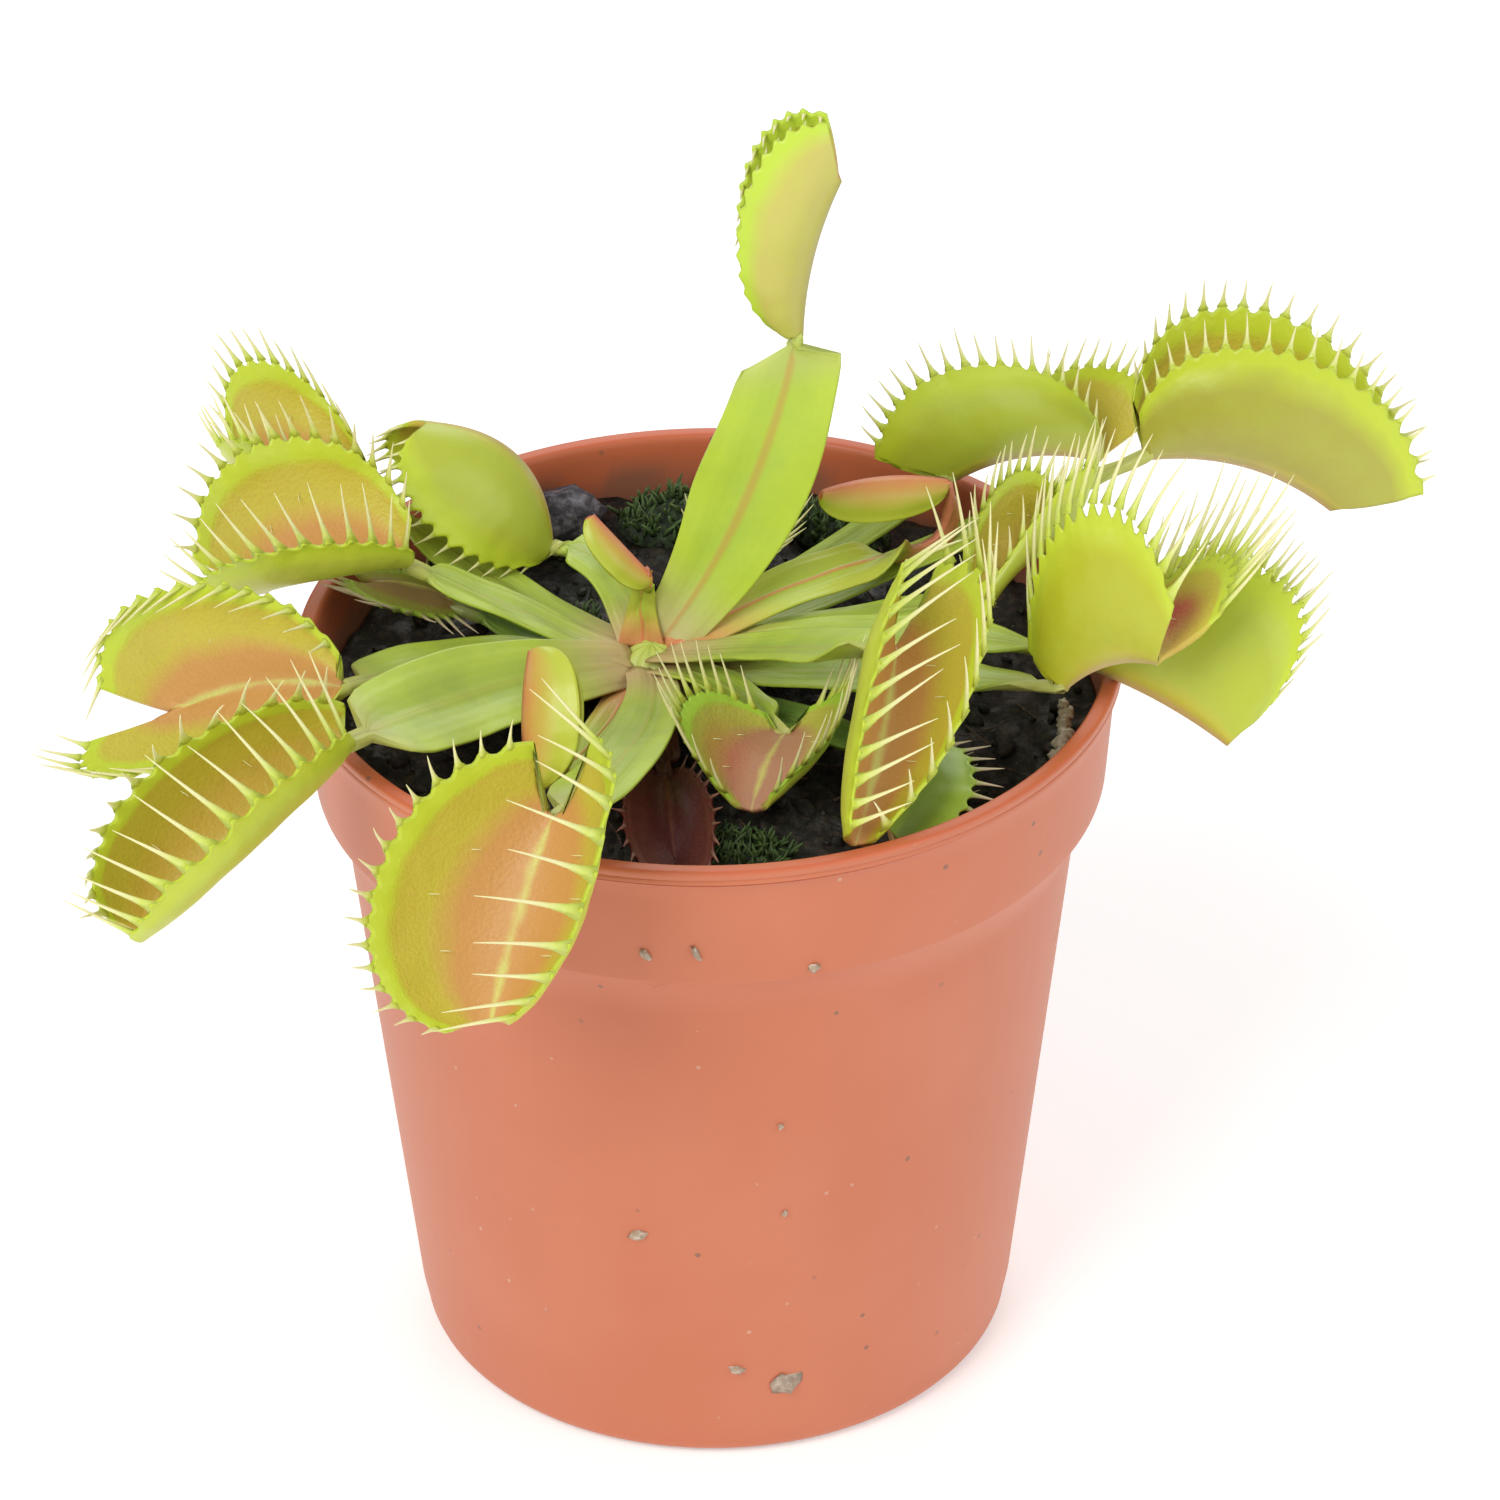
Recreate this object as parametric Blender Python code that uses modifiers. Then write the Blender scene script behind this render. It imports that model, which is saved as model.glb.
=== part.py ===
"""A Venus flytrap in a small plastic nursery pot.

Run with:  blender --background --python part.py

The origin is the middle of the pot's flat base, +Z is up, and -Y is the front.
Sizes are written in millimetres and turned into metres by MM.
"""

import math
from typing import NamedTuple

import bmesh
import bpy
from mathutils import Matrix, Vector

MM = 0.001
GAP = 0.3                    # clearance between pieces that touch

# Pot, turned about +Z
POT_HEIGHT = 81.7
RIM_RADIUS = 42.5
LIP_HEIGHT = 1.8
LIP_EDGE = 0.4               # bevel along the lip
LIP_WIDTH = 1.6              # across the lip's flat top
BAND_TOP_RADIUS = 42.0
BAND_FOOT_RADIUS = 40.9
BAND_HEIGHT = 14.6
BAND_STEP = 0.7              # the band stands this far proud of the shoulder
SHOULDER_RADIUS = 37.9
SHOULDER_HEIGHT = 6.2
SHOULDER_CURVE = 1.6         # power of the shoulder's flare
FOOT_RADIUS = 31.3
CORNER_RADIUS = 2.0
WALL = 1.2
FLOOR = 1.6
POT_STEPS = 48
UNDER = 0.01                 # reads the wall just below a step in it

# Drain holes in the pot's floor
DRAIN_COUNT = 6
DRAIN_RADIUS = 3.0
DRAIN_CIRCLE = 21.0

# Soil, with a surface that rises towards the back
SOIL_LEVEL = 73.2
SOIL_SLOPE = 0.06
SOIL_STEPS = 40
SOIL_RINGS = (0.0, 0.3, 0.6)   # rings of its top face, by the face's radius
SOIL_GAP = 0.45              # to the pot, measured at the corners of its facets

# Crown that the leaves grow from
CROWN = Vector((-6.0, 6.0, 74.0))
CROWN_RADIUS = 6.0
BASE_REACH = CROWN_RADIUS + 0.7
TIER_ELEVATION = (6.0, 32.0, 58.0)

# Leaves
LEAF_THICKNESS = 1.0
BASE_WIDTH = 2.6
NECK_WIDTH = 1.7
NECK_LENGTH = 2.6
BLADE_FOLD = math.radians(12)
BLADE_ROWS = 8
TRAP_ROWS = 8
HALF_COLUMNS = 3
LOBE_SWEEP = math.radians(80)
LOBE_ROUNDNESS = 0.75
TWIST_START = 0.7            # where the blade starts to turn towards the trap


class Leaf(NamedTuple):
    """One leaf: a winged blade that ends in a hinged trap. Points are in millimetres."""

    name: str
    azimuth: float           # where its base leaves the crown, in degrees from +X
    tier: int                # which ring of the crown it grows from
    middle: tuple            # a point halfway along the blade
    heel: tuple              # where the blade's neck meets the trap's hinge
    tip: tuple               # the free end of the hinge
    lobe_a: tuple            # middle of one lobe's margin
    lobe_b: tuple            # middle of the other lobe's margin
    width: float             # widest part of the blade
    overhang: tuple = (0.12, 0.35)   # how far the lobes pass the heel and the tip
    arch: float = 0.1        # rise of the hinge towards the gape, by its length
    bulge: float = 0.22      # depth of a lobe's cup, by its height
    face: tuple = (0, 0, 1)  # the way the blade's upper side looks
    overhang_b: tuple = ()   # the same as overhang for the second lobe, if it differs


GREEN = (0.42, 0.55, 0.10)
RED_GREEN = (0.60, 0.36, 0.14)
DARK_RED = (0.14, 0.02, 0.02)

LEAVES = (
    Leaf("leaf_tall", 67, 2, (3.6, 9.6, 92.3), (9.3, 12, 110.6), (13.3, 14, 127.7),
         (2.9, 15.5, 124.3), (2.9, 12, 123.6), 12.8, overhang=(0.02, 0.32), arch=0.05, bulge=0.3,
         face=(-0.2, -1, 0.3)),
    Leaf("leaf_back_right", 37, 0, (10.5, 19, 78), (25.4, 26, 85), (41.6, 31, 84.4),
         (30.7, 30.1, 97.5), (38.8, 36.8, 92.5), 4.5, overhang=(0.46, 0.03), bulge=0.2,
         overhang_b=(0.1, 0.2)),
    Leaf("leaf_far_right", 26, 1, (20, 16.5, 80.5), (46, 23, 89.5), (65.5, 23, 83),
         (57.5, 24, 103), (55.5, 32.5, 103), 4.5, overhang=(0.09, 0.47)),
    Leaf("leaf_mid_right", 9, 0, (12.5, 7.5, 78.5), (29.2, 8, 81), (36, 13.5, 84.5),
         (30.9, 12.4, 93.8), (38.3, 16.5, 92), 5, overhang=(0.3, 0.2)),
    Leaf("leaf_right_upper", -18, 0, (15, -5.5, 80.5), (35.6, -14.2, 84.7), (45, -17.2, 89.9),
         (37.7, -12.7, 106.4), (48.6, -6.6, 95.6), 8, overhang=(0.28, 0.26), arch=0.12, bulge=0.15,
         overhang_b=(0.08, 0.1)),
    Leaf("leaf_right_lower", -8, 1, (18, 1, 82), (38.1, -7.4, 83.4), (52.8, -14, 77.9),
         (58.3, -6, 92.8), (55.5, 2.5, 90.6), 6, overhang=(0.1, 0.02), arch=0.04, bulge=0.16,
         overhang_b=(0.1, 0.05)),
    Leaf("leaf_front_right", -43, 2, (9, -8.3, 86), (18.5, -19, 92), (14.2, -36, 80.4),
         (16.4, -35, 97), (27, -26.5, 94.5), 9, overhang=(0.42, 0), arch=0.05,
         overhang_b=(0.38, 0.05)),
    Leaf("leaf_front_small", -64, 1, (1.5, -4.5, 79), (7.8, -12, 77.6), (4.3, -22.5, 75.5),
         (-3, -14.9, 83.9), (13.4, -17.6, 84.7), 4.5, overhang=(0.08, 0), overhang_b=(0.16, 0)),
    Leaf("leaf_front_left", -98, 1, (-7.2, -19.5, 82.4), (-15.2, -42, 87.6), (-21.2, -53, 71.6),
         (-33.4, -54, 85.4), (-12.3, -59, 89.1), 7.2, overhang=(0.4, 0.08), arch=0.05,
         overhang_b=(0.42, 0.02)),
    Leaf("leaf_left_lower", 215, 1, (-22, -8, 81.5), (-36.1, -25, 85.7), (-55.9, -42, 74.7),
         (-55.8, -38.3, 90.5), (-46, -42.7, 89.4), 11, overhang=(0.14, 0.02), arch=0.05,
         bulge=0.24, face=(0, -0.6, 0.8), overhang_b=(0.03, 0.06)),
    Leaf("leaf_left_middle", 197, 0, (-23, 0, 79), (-37, -13, 84.5), (-53.5, -18, 85),
         (-50.5, -9, 95.5), (-54, -23.5, 81.5), 9, overhang=(0.08, 0.38)),
    Leaf("leaf_left_upper", 182, 1, (-20, 5, 82), (-31.5, 6, 87.5), (-45.5, 2, 87),
         (-42, 11.5, 100.5), (-41, -4.5, 97), 6, overhang=(0.15, 0.45)),
    Leaf("leaf_left_rear", 148, 1, (-21, 12.2, 80.2), (-33.5, 18, 87), (-47.5, 18, 91.5),
         (-44.5, 25, 100.8), (-45, 11.5, 99), 6, overhang=(-0.05, 0.1)),
    Leaf("leaf_drooping", 116, 1, (-11, 15.9, 81), (-16.8, 18, 81.8), (-29.4, 20, 95.5),
         (-29.4, 11.3, 88.3), (-31.8, 23.2, 86.4), 6, overhang=(0.05, 0), arch=-0.22),
    Leaf("leaf_left_shaded", 166, 0, (-17.5, 9.5, 76), (-26.5, 11, 79), (-34.5, 9, 83),
         (-32, 5.5, 82), (-29, 14, 81), 4.5),
    Leaf("leaf_young_centre", 126, 2, (-7.1, 8.3, 82.7), (-6.3, 6.3, 85.3), (-12.1, 8, 91.6),
         (-10.8, 4.6, 87.5), (-10.9, 8.2, 85.3), 2.6, overhang=(0.05, 0.03), arch=0, bulge=0.25,
         face=(-0.3, -1, 0.2)),
    Leaf("leaf_young_hooked", 1, 2, (10.3, 10.9, 82.3), (24.9, 18, 89.2), (11.9, 14.4, 90.3),
         (17.8, 14, 87.1), (17.8, 17.6, 85), 6, overhang=(0, 0.02), arch=-0.07, bulge=0.3,
         face=(0, -0.3, 1)),
    Leaf("leaf_young_upright", 236, 0, (-13, -14, 77), (-17.6, -27, 81.6), (-17.5, -18.5, 92.3),
         (-12.5, -25.5, 89.8), (-12.5, -22.5, 87.8), 4, overhang=(0.02, 0.02), arch=-0.05,
         bulge=0.3),
    Leaf("leaf_low_right", -56, 0, (11.4, -9.2, 76.3), (19.5, -18, 79.5), (18, -28, 77),
         (27, -25.5, 81), (25.5, -19, 75.5), 5),
    Leaf("leaf_rear_small", 70, 0, (-1, 15.2, 76.8), (1.5, 17.5, 78), (3, 23.5, 80),
         (-2, 17.5, 84), (8.5, 24, 80), 4),
    Leaf("leaf_old_dark", 264, 0, (-5.5, -8, 74.8), (-4.5, -14, 74), (-3.5, -28, 73.3),
         (-9, -22, 76), (0.5, -22, 76), 4),
)


class Mound(NamedTuple):
    """A low lump lying on the soil. Sizes are in millimetres."""

    name: str
    centre: tuple            # its place on the soil, x and y
    radii: tuple             # its half widths in x and y
    height: float
    ripple: float            # how far its outline wanders, by its radius
    lobes: int               # how many bays the outline has
    colour: tuple
    turn: float = 0.0        # about +Z, in degrees


MOUND_DEPTH = 0.02           # keeps a mound's underside open to its own rim
MOSS = (0.06, 0.10, 0.03)
BARK = (0.10, 0.08, 0.09)
PALE = (0.72, 0.66, 0.55)

MOUNDS = (
    Mound("moss_back", (-3.5, 33), (6.5, 4.5), 3.6, 0.10, 5, MOSS),
    Mound("moss_back_right", (14, 31), (5.5, 3.6), 3.0, 0.12, 4, MOSS, -20),
    Mound("moss_left", (-14, 14.5), (3.0, 2.2), 1.4, 0.10, 4, MOSS),
    Mound("moss_front", (3, -24.5), (5.5, 3.0), 1.4, 0.12, 5, MOSS),
    Mound("bark_chip", (-16, 31), (5.5, 4.0), 5.0, 0.08, 3, BARK, 30),
    Mound("perlite_grain", (36, -8), (1.6, 3.0), 2.2, 0.16, 4, PALE, -20),
)


def clear_scene():
    """Remove every object that the scene starts with."""
    for obj in list(bpy.data.objects):
        bpy.data.objects.remove(obj, do_unlink=True)


def new_collection(name):
    """Make a collection under the scene's own."""
    group = bpy.data.collections.new(name)
    bpy.context.scene.collection.children.link(group)
    return group


def new_material(name, colour, roughness=0.5, metallic=0.0):
    """Make a plain Principled material."""
    material = bpy.data.materials.new(name)
    material.use_nodes = True
    shader = material.node_tree.nodes["Principled BSDF"]
    shader.inputs["Base Color"].default_value = (*colour, 1.0)
    shader.inputs["Roughness"].default_value = roughness
    shader.inputs["Metallic"].default_value = metallic
    return material


def add_object(name, mesh_builder, group, material=None):
    """Turn a bmesh in millimetres into a named object in metres."""
    bmesh.ops.scale(mesh_builder, vec=(MM, MM, MM), verts=mesh_builder.verts)
    mesh = bpy.data.meshes.new(name)
    mesh_builder.to_mesh(mesh)
    mesh_builder.free()
    obj = bpy.data.objects.new(name, mesh)
    group.objects.link(obj)
    if material:
        mesh.materials.append(material)
    return obj


def profile_mesh(points):
    """A chain of edges in the XZ plane, from (radius, height) pairs."""
    builder = bmesh.new()
    verts = [builder.verts.new((radius, 0.0, height)) for radius, height in points]
    for first, second in zip(verts, verts[1:]):
        builder.edges.new((first, second))
    return builder


def turn(obj, steps):
    """Turn a profile about +Z with a Screw modifier."""
    screw = obj.modifiers.new("turn", "SCREW")
    screw.axis = "Z"
    screw.angle = math.tau
    screw.steps = steps
    screw.render_steps = steps
    screw.use_merge_vertices = True
    screw.merge_threshold = 0.00001


def cut(obj, cutter):
    """Cut one object out of another, exactly."""
    boolean = obj.modifiers.new("cut " + cutter.name, "BOOLEAN")
    boolean.operation = "DIFFERENCE"
    boolean.solver = "EXACT"
    boolean.object = cutter


def hide_cutter(obj):
    """Show a cutter as wire only."""
    obj.hide_render = True
    obj.display_type = "WIRE"


def pot_radius(height):
    """Outer radius of the pot's wall at a height."""
    band_foot = POT_HEIGHT - BAND_HEIGHT
    shoulder_foot = band_foot - SHOULDER_HEIGHT
    if height >= band_foot:
        part = (height - band_foot) / BAND_HEIGHT
        return BAND_FOOT_RADIUS + part * (BAND_TOP_RADIUS - BAND_FOOT_RADIUS)
    if height >= shoulder_foot:
        part = (height - shoulder_foot) / SHOULDER_HEIGHT
        return SHOULDER_RADIUS + part ** SHOULDER_CURVE * (
            BAND_FOOT_RADIUS - BAND_STEP - SHOULDER_RADIUS)
    return FOOT_RADIUS + height / shoulder_foot * (SHOULDER_RADIUS - FOOT_RADIUS)


def pot_profile():
    """Closed outline of the pot's wall: down the outside and up the inside."""
    band_foot = POT_HEIGHT - BAND_HEIGHT
    shoulder = [band_foot - SHOULDER_HEIGHT * step / 4 for step in range(5)]
    lip_foot = POT_HEIGHT - LIP_HEIGHT
    outside = [(RIM_RADIUS - LIP_EDGE, POT_HEIGHT), (RIM_RADIUS, POT_HEIGHT - LIP_EDGE),
               (RIM_RADIUS, lip_foot + LIP_EDGE), (BAND_TOP_RADIUS, lip_foot),
               (BAND_FOOT_RADIUS, band_foot)]
    outside += [(pot_radius(height - UNDER), height) for height in shoulder]
    for step in range(4):
        angle = math.radians(30 * step)
        outside.append((FOOT_RADIUS - CORNER_RADIUS * (1 - math.cos(angle)),
                        CORNER_RADIUS * (1 - math.sin(angle))))
    inside = [(pot_radius(FLOOR) - WALL - CORNER_RADIUS, FLOOR),
              (pot_radius(FLOOR + CORNER_RADIUS) - WALL, FLOOR + CORNER_RADIUS)]
    inside += [(pot_radius(height - UNDER) - WALL, height) for height in reversed(shoulder)]
    inside += [(RIM_RADIUS - LIP_WIDTH - LIP_EDGE, lip_foot),
               (RIM_RADIUS - LIP_WIDTH - LIP_EDGE, POT_HEIGHT - LIP_EDGE),
               (RIM_RADIUS - LIP_WIDTH, POT_HEIGHT)]
    return outside, inside


def make_pot(group, cutters):
    """A thin tapered pot with a lip, a band, a shoulder and drain holes."""
    outside, inside = pot_profile()
    points = outside + [(0.0, 0.0)]
    wall = profile_mesh(points)
    inner_points = [(0.0, FLOOR)] + inside
    verts = [wall.verts.new((radius, 0.0, height)) for radius, height in inner_points]
    for first, second in zip(verts, verts[1:]):
        wall.edges.new((first, second))
    wall.verts.ensure_lookup_table()
    wall.edges.new((verts[-1], wall.verts[0]))
    pot = add_object("pot", wall, group, new_material("pot plastic", (0.70, 0.24, 0.13), 0.45))
    turn(pot, POT_STEPS)
    for number in range(DRAIN_COUNT):
        hole = bmesh.new()
        bmesh.ops.create_cone(hole, cap_ends=True, segments=16, radius1=DRAIN_RADIUS,
                              radius2=DRAIN_RADIUS, depth=4 * FLOOR)
        angle = math.tau * (number + 0.5) / DRAIN_COUNT
        bmesh.ops.translate(hole, verts=hole.verts, vec=(
            DRAIN_CIRCLE * math.cos(angle), DRAIN_CIRCLE * math.sin(angle), 0.0))
        cutter = add_object(f"drain_cutter_{number + 1}", hole, cutters)
        hide_cutter(cutter)
        cut(pot, cutter)


def inner_radius(height):
    """Radius of the pot's inside at a height, along its straight stretches."""
    inside = pot_profile()[1]
    for (low_radius, low), (high_radius, high) in zip(inside, inside[1:]):
        if low <= height <= high and high > low:
            return low_radius + (height - low) / (high - low) * (high_radius - low_radius)
    return inside[0][0]


def ground(x, y):
    """Height of the soil's surface."""
    return SOIL_LEVEL + SOIL_SLOPE * y


def soil_outline():
    """Radius and height down the side of the soil, which follows the pot's inside."""
    band_foot = POT_HEIGHT - BAND_HEIGHT
    heights = [SOIL_LEVEL, band_foot, band_foot - SHOULDER_HEIGHT / 4,
               band_foot - SHOULDER_HEIGHT / 2, band_foot - SHOULDER_HEIGHT, FLOOR + 2.0]
    side = [(inner_radius(height) - SOIL_GAP, height) for height in heights]
    lowest = SOIL_LEVEL - SOIL_SLOPE * RIM_RADIUS
    side[0] = (inner_radius(lowest) - SOIL_GAP - GAP, SOIL_LEVEL)
    return side + [(inner_radius(FLOOR) - SOIL_GAP, FLOOR + GAP)]


def make_soil(group, cutters):
    """A plug of peat that fills the pot, with a hollow for the crown."""
    side = soil_outline()
    top_radius = side[0][0]
    rings = [(top_radius * share, SOIL_LEVEL) for share in SOIL_RINGS]
    builder = profile_mesh(rings + side + [(0.0, FLOOR + GAP)])
    bmesh.ops.spin(builder, geom=builder.verts[:] + builder.edges[:], cent=(0, 0, 0),
                   axis=(0, 0, 1), angle=math.tau, steps=SOIL_STEPS, use_merge=True,
                   use_duplicate=False)
    bmesh.ops.remove_doubles(builder, verts=builder.verts, dist=0.001)
    bmesh.ops.recalc_face_normals(builder, faces=builder.faces)
    for vert in builder.verts:
        if vert.co.z > SOIL_LEVEL - 0.01:
            vert.co.z = ground(vert.co.x, vert.co.y)
    soil = add_object("soil", builder, group, new_material("wet peat", (0.02, 0.015, 0.01), 0.9))
    pocket = bmesh.new()
    bmesh.ops.create_icosphere(pocket, subdivisions=2, radius=CROWN_RADIUS + 2 * GAP)
    bmesh.ops.translate(pocket, verts=pocket.verts, vec=CROWN)
    cutter = add_object("crown_cutter", pocket, cutters)
    hide_cutter(cutter)
    cut(soil, cutter)


def make_crown(group):
    """The short bulb at the soil's surface that carries every leaf."""
    builder = bmesh.new()
    bmesh.ops.create_icosphere(builder, subdivisions=2, radius=CROWN_RADIUS)
    bmesh.ops.translate(builder, verts=builder.verts, vec=CROWN)
    add_object("crown", builder, group, new_material("crown", (0.60, 0.50, 0.28), 0.5))


def make_mound(group, mound):
    """A lump with a wandering outline and an underside that follows the soil."""
    builder = bmesh.new()
    bmesh.ops.create_uvsphere(builder, u_segments=16, v_segments=8, radius=1.0)
    swing = math.radians(mound.turn)
    for vert in builder.verts:
        bay = 1 + mound.ripple * math.sin(mound.lobes * math.atan2(vert.co.y, vert.co.x))
        across = vert.co.x * mound.radii[0] * bay
        along = vert.co.y * mound.radii[1] * bay
        x = mound.centre[0] + across * math.cos(swing) - along * math.sin(swing)
        y = mound.centre[1] + across * math.sin(swing) + along * math.cos(swing)
        rise = max(0.0, vert.co.z) * mound.height
        vert.co = (x, y, ground(x, y) + GAP + rise + MOUND_DEPTH * vert.co.z)
    name = mound.name.replace("_", " ")
    add_object(mound.name, builder, group, new_material(name, mound.colour, 0.9))


def bezier(start, knee, end, share):
    """A point and the direction of travel on a quadratic curve."""
    rest = 1 - share
    point = start * rest * rest + knee * 2 * share * rest + end * share * share
    travel = (knee - start) * 2 * rest + (end - knee) * 2 * share
    return point, travel.normalized()


def crown_point(leaf):
    """Where a leaf's base stands, just clear of the crown."""
    azimuth = math.radians(leaf.azimuth)
    rise = math.radians(TIER_ELEVATION[leaf.tier])
    outward = Vector((math.cos(azimuth) * math.cos(rise), math.sin(azimuth) * math.cos(rise),
                      math.sin(rise)))
    return CROWN + outward * BASE_REACH


def knee_point(leaf):
    """The control point that takes the blade's curve through its middle."""
    return Vector(leaf.middle) * 2 - (crown_point(leaf) + Vector(leaf.heel)) / 2


def blade_width(leaf, share):
    """Width of the winged blade: narrow at the base, wide, then cut off at the neck."""
    swell = math.sin(min(1.0, share / 0.8) * math.pi / 2) ** 1.2
    taper = 1.0 if share < 0.86 else math.sqrt(max(0.0, 1 - ((share - 0.86) / 0.14) ** 2))
    return max(NECK_WIDTH, (BASE_WIDTH + (leaf.width - BASE_WIDTH) * swell) * taper)


def smooth(low, high, value):
    """A soft step from 0 at low to 1 at high."""
    part = min(1.0, max(0.0, (value - low) / (high - low)))
    return part * part * (3 - 2 * part)


def trap_frame(leaf):
    """The trap's hinge direction, the way that it opens, and its two lobes in order."""
    heel, tip = Vector(leaf.heel), Vector(leaf.tip)
    axis = (tip - heel).normalized()
    middle = (heel + tip) / 2
    lobes = [(Vector(leaf.lobe_a) - middle, leaf.overhang),
             (Vector(leaf.lobe_b) - middle, leaf.overhang_b or leaf.overhang)]
    opens = lobes[0][0].normalized() + lobes[1][0].normalized()
    opens = (opens - axis * opens.dot(axis)).normalized()
    if (lobes[1][0] - lobes[0][0]).dot(axis.cross(opens)) < 0:
        lobes.reverse()
    return axis, opens, lobes


def blade_frame(leaf, travel):
    """The blade's sideways and upward directions, before it turns towards the trap."""
    up = Vector(leaf.face)
    up = (up - travel * up.dot(travel)).normalized()
    return travel.cross(up), up


def neck_twist(leaf, travel):
    """How far the neck turns, and whether the trap's far lobe joins the blade's near edge."""
    axis, opens, _ = trap_frame(leaf)
    side, _ = blade_frame(leaf, travel)
    goal = axis.cross(opens)
    goal = (goal - travel * goal.dot(travel)).normalized()
    twist = math.atan2(side.cross(goal).dot(travel), side.dot(goal))
    if abs(twist) > math.pi / 2:
        return twist - math.copysign(math.pi, twist), True
    return twist, False


def blade_row(leaf, share, neck_start):
    """One row of points across the blade, from one edge to the other."""
    base, heel = crown_point(leaf), Vector(leaf.heel)
    point, travel = bezier(base, knee_point(leaf), heel, share)
    side, up = blade_frame(leaf, travel)
    twist, _ = neck_twist(leaf, bezier(base, knee_point(leaf), heel, 1.0)[1])
    swing = Matrix.Rotation(twist * smooth(TWIST_START, 1.0, share), 3, travel)
    side, up = swing @ side, swing @ up
    half = blade_width(leaf, min(1.0, share / neck_start)) / 2
    row = []
    for column in range(-HALF_COLUMNS, HALF_COLUMNS + 1):
        out = column / HALF_COLUMNS
        row.append(point + side * out * half * math.cos(BLADE_FOLD)
                   + up * abs(out) * half * math.sin(BLADE_FOLD))
    return row


def trap_row(leaf, share):
    """One row of points across the trap, from one margin over the hinge to the other."""
    heel = Vector(leaf.heel)
    length = (Vector(leaf.tip) - heel).length
    axis, opens, lobes = trap_frame(leaf)
    place = 2 * share - 1
    hinge = heel + axis * length * share + opens * leaf.arch * length * (1 - place ** 2)
    sweep = LOBE_SWEEP * place
    size = math.cos(sweep) ** LOBE_ROUNDNESS
    row = []
    for column in range(-HALF_COLUMNS, HALF_COLUMNS + 1):
        lobe, (before, beyond) = lobes[0 if column < 0 else 1]
        centre = (1 + beyond - before) / 2
        reach = (1 + beyond + before) / 2
        along = (centre + reach * math.sin(sweep)) * length
        lean = lobe.dot(axis)
        lobe = lobe - axis * lean
        height = lobe.length
        outward = axis.cross(lobe).normalized()
        if outward.dot(opens) > 0:
            outward.negate()
        out = abs(column) / HALF_COLUMNS
        margin = heel + axis * (along + lean * size) + lobe * size
        cup = leaf.bulge * height * size * 4 * out * (1 - out) * (1 - 0.35 * out)
        row.append(hinge * (1 - out) + margin * out + outward * cup)
    return row


def make_leaf(group, leaf, colour):
    """A blade and its trap, as one thickened sheet."""
    base, middle, heel = crown_point(leaf), Vector(leaf.middle), Vector(leaf.heel)
    length = (middle - base).length + (heel - middle).length
    neck_start = 1 - NECK_LENGTH / length
    shares = [neck_start * row / (BLADE_ROWS - 3) for row in range(BLADE_ROWS - 2)]
    shares.insert(-1, neck_start * 0.93)
    rows = [blade_row(leaf, share, neck_start) for share in shares + [1.0]]
    trap = [trap_row(leaf, row / (TRAP_ROWS - 1)) for row in range(TRAP_ROWS)]
    if neck_twist(leaf, bezier(base, knee_point(leaf), heel, 1.0)[1])[1]:
        for row in trap:
            row.reverse()
    rows += trap
    builder = bmesh.new()
    columns = 2 * HALF_COLUMNS
    bmesh.ops.create_grid(builder, x_segments=columns, y_segments=len(rows) - 1, size=1.0)
    for vert in builder.verts:
        column = round((vert.co.x + 1) / 2 * columns)
        row = round((vert.co.y + 1) / 2 * (len(rows) - 1))
        vert.co = rows[row][column]
    name = leaf.name.replace("_", " ")
    obj = add_object(leaf.name, builder, group, new_material(name, colour, 0.4))
    shell = obj.modifiers.new("thickness", "SOLIDIFY")
    shell.thickness = LEAF_THICKNESS * MM
    shell.offset = 0.0


def main():
    """Build the pot, the soil and what lies on it, the crown and the leaves."""
    clear_scene()
    group = new_collection("potted venus flytrap")
    cutters = new_collection("cutters")
    make_pot(group, cutters)
    make_soil(group, cutters)
    make_crown(group)
    for mound in MOUNDS:
        make_mound(group, mound)
    for leaf in LEAVES:
        colour = GREEN
        if "young" in leaf.name:
            colour = RED_GREEN
        if "dark" in leaf.name:
            colour = DARK_RED
        make_leaf(group, leaf, colour)


main()
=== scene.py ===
"""Looks of a potted Venus flytrap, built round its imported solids.

Every piece stands where its solid does: the frame is in metres with +Z up, its origin is the
middle of the pot's flat base, and -Y is the front. Sizes and places below are in millimetres,
and MM turns them into metres when a mesh is finished.
"""

from __future__ import annotations

import logging
import math
import random
from collections.abc import Callable
from dataclasses import dataclass
from enum import Enum

import bmesh
import bpy
from mathutils import Euler, Matrix, Vector, noise


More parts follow.
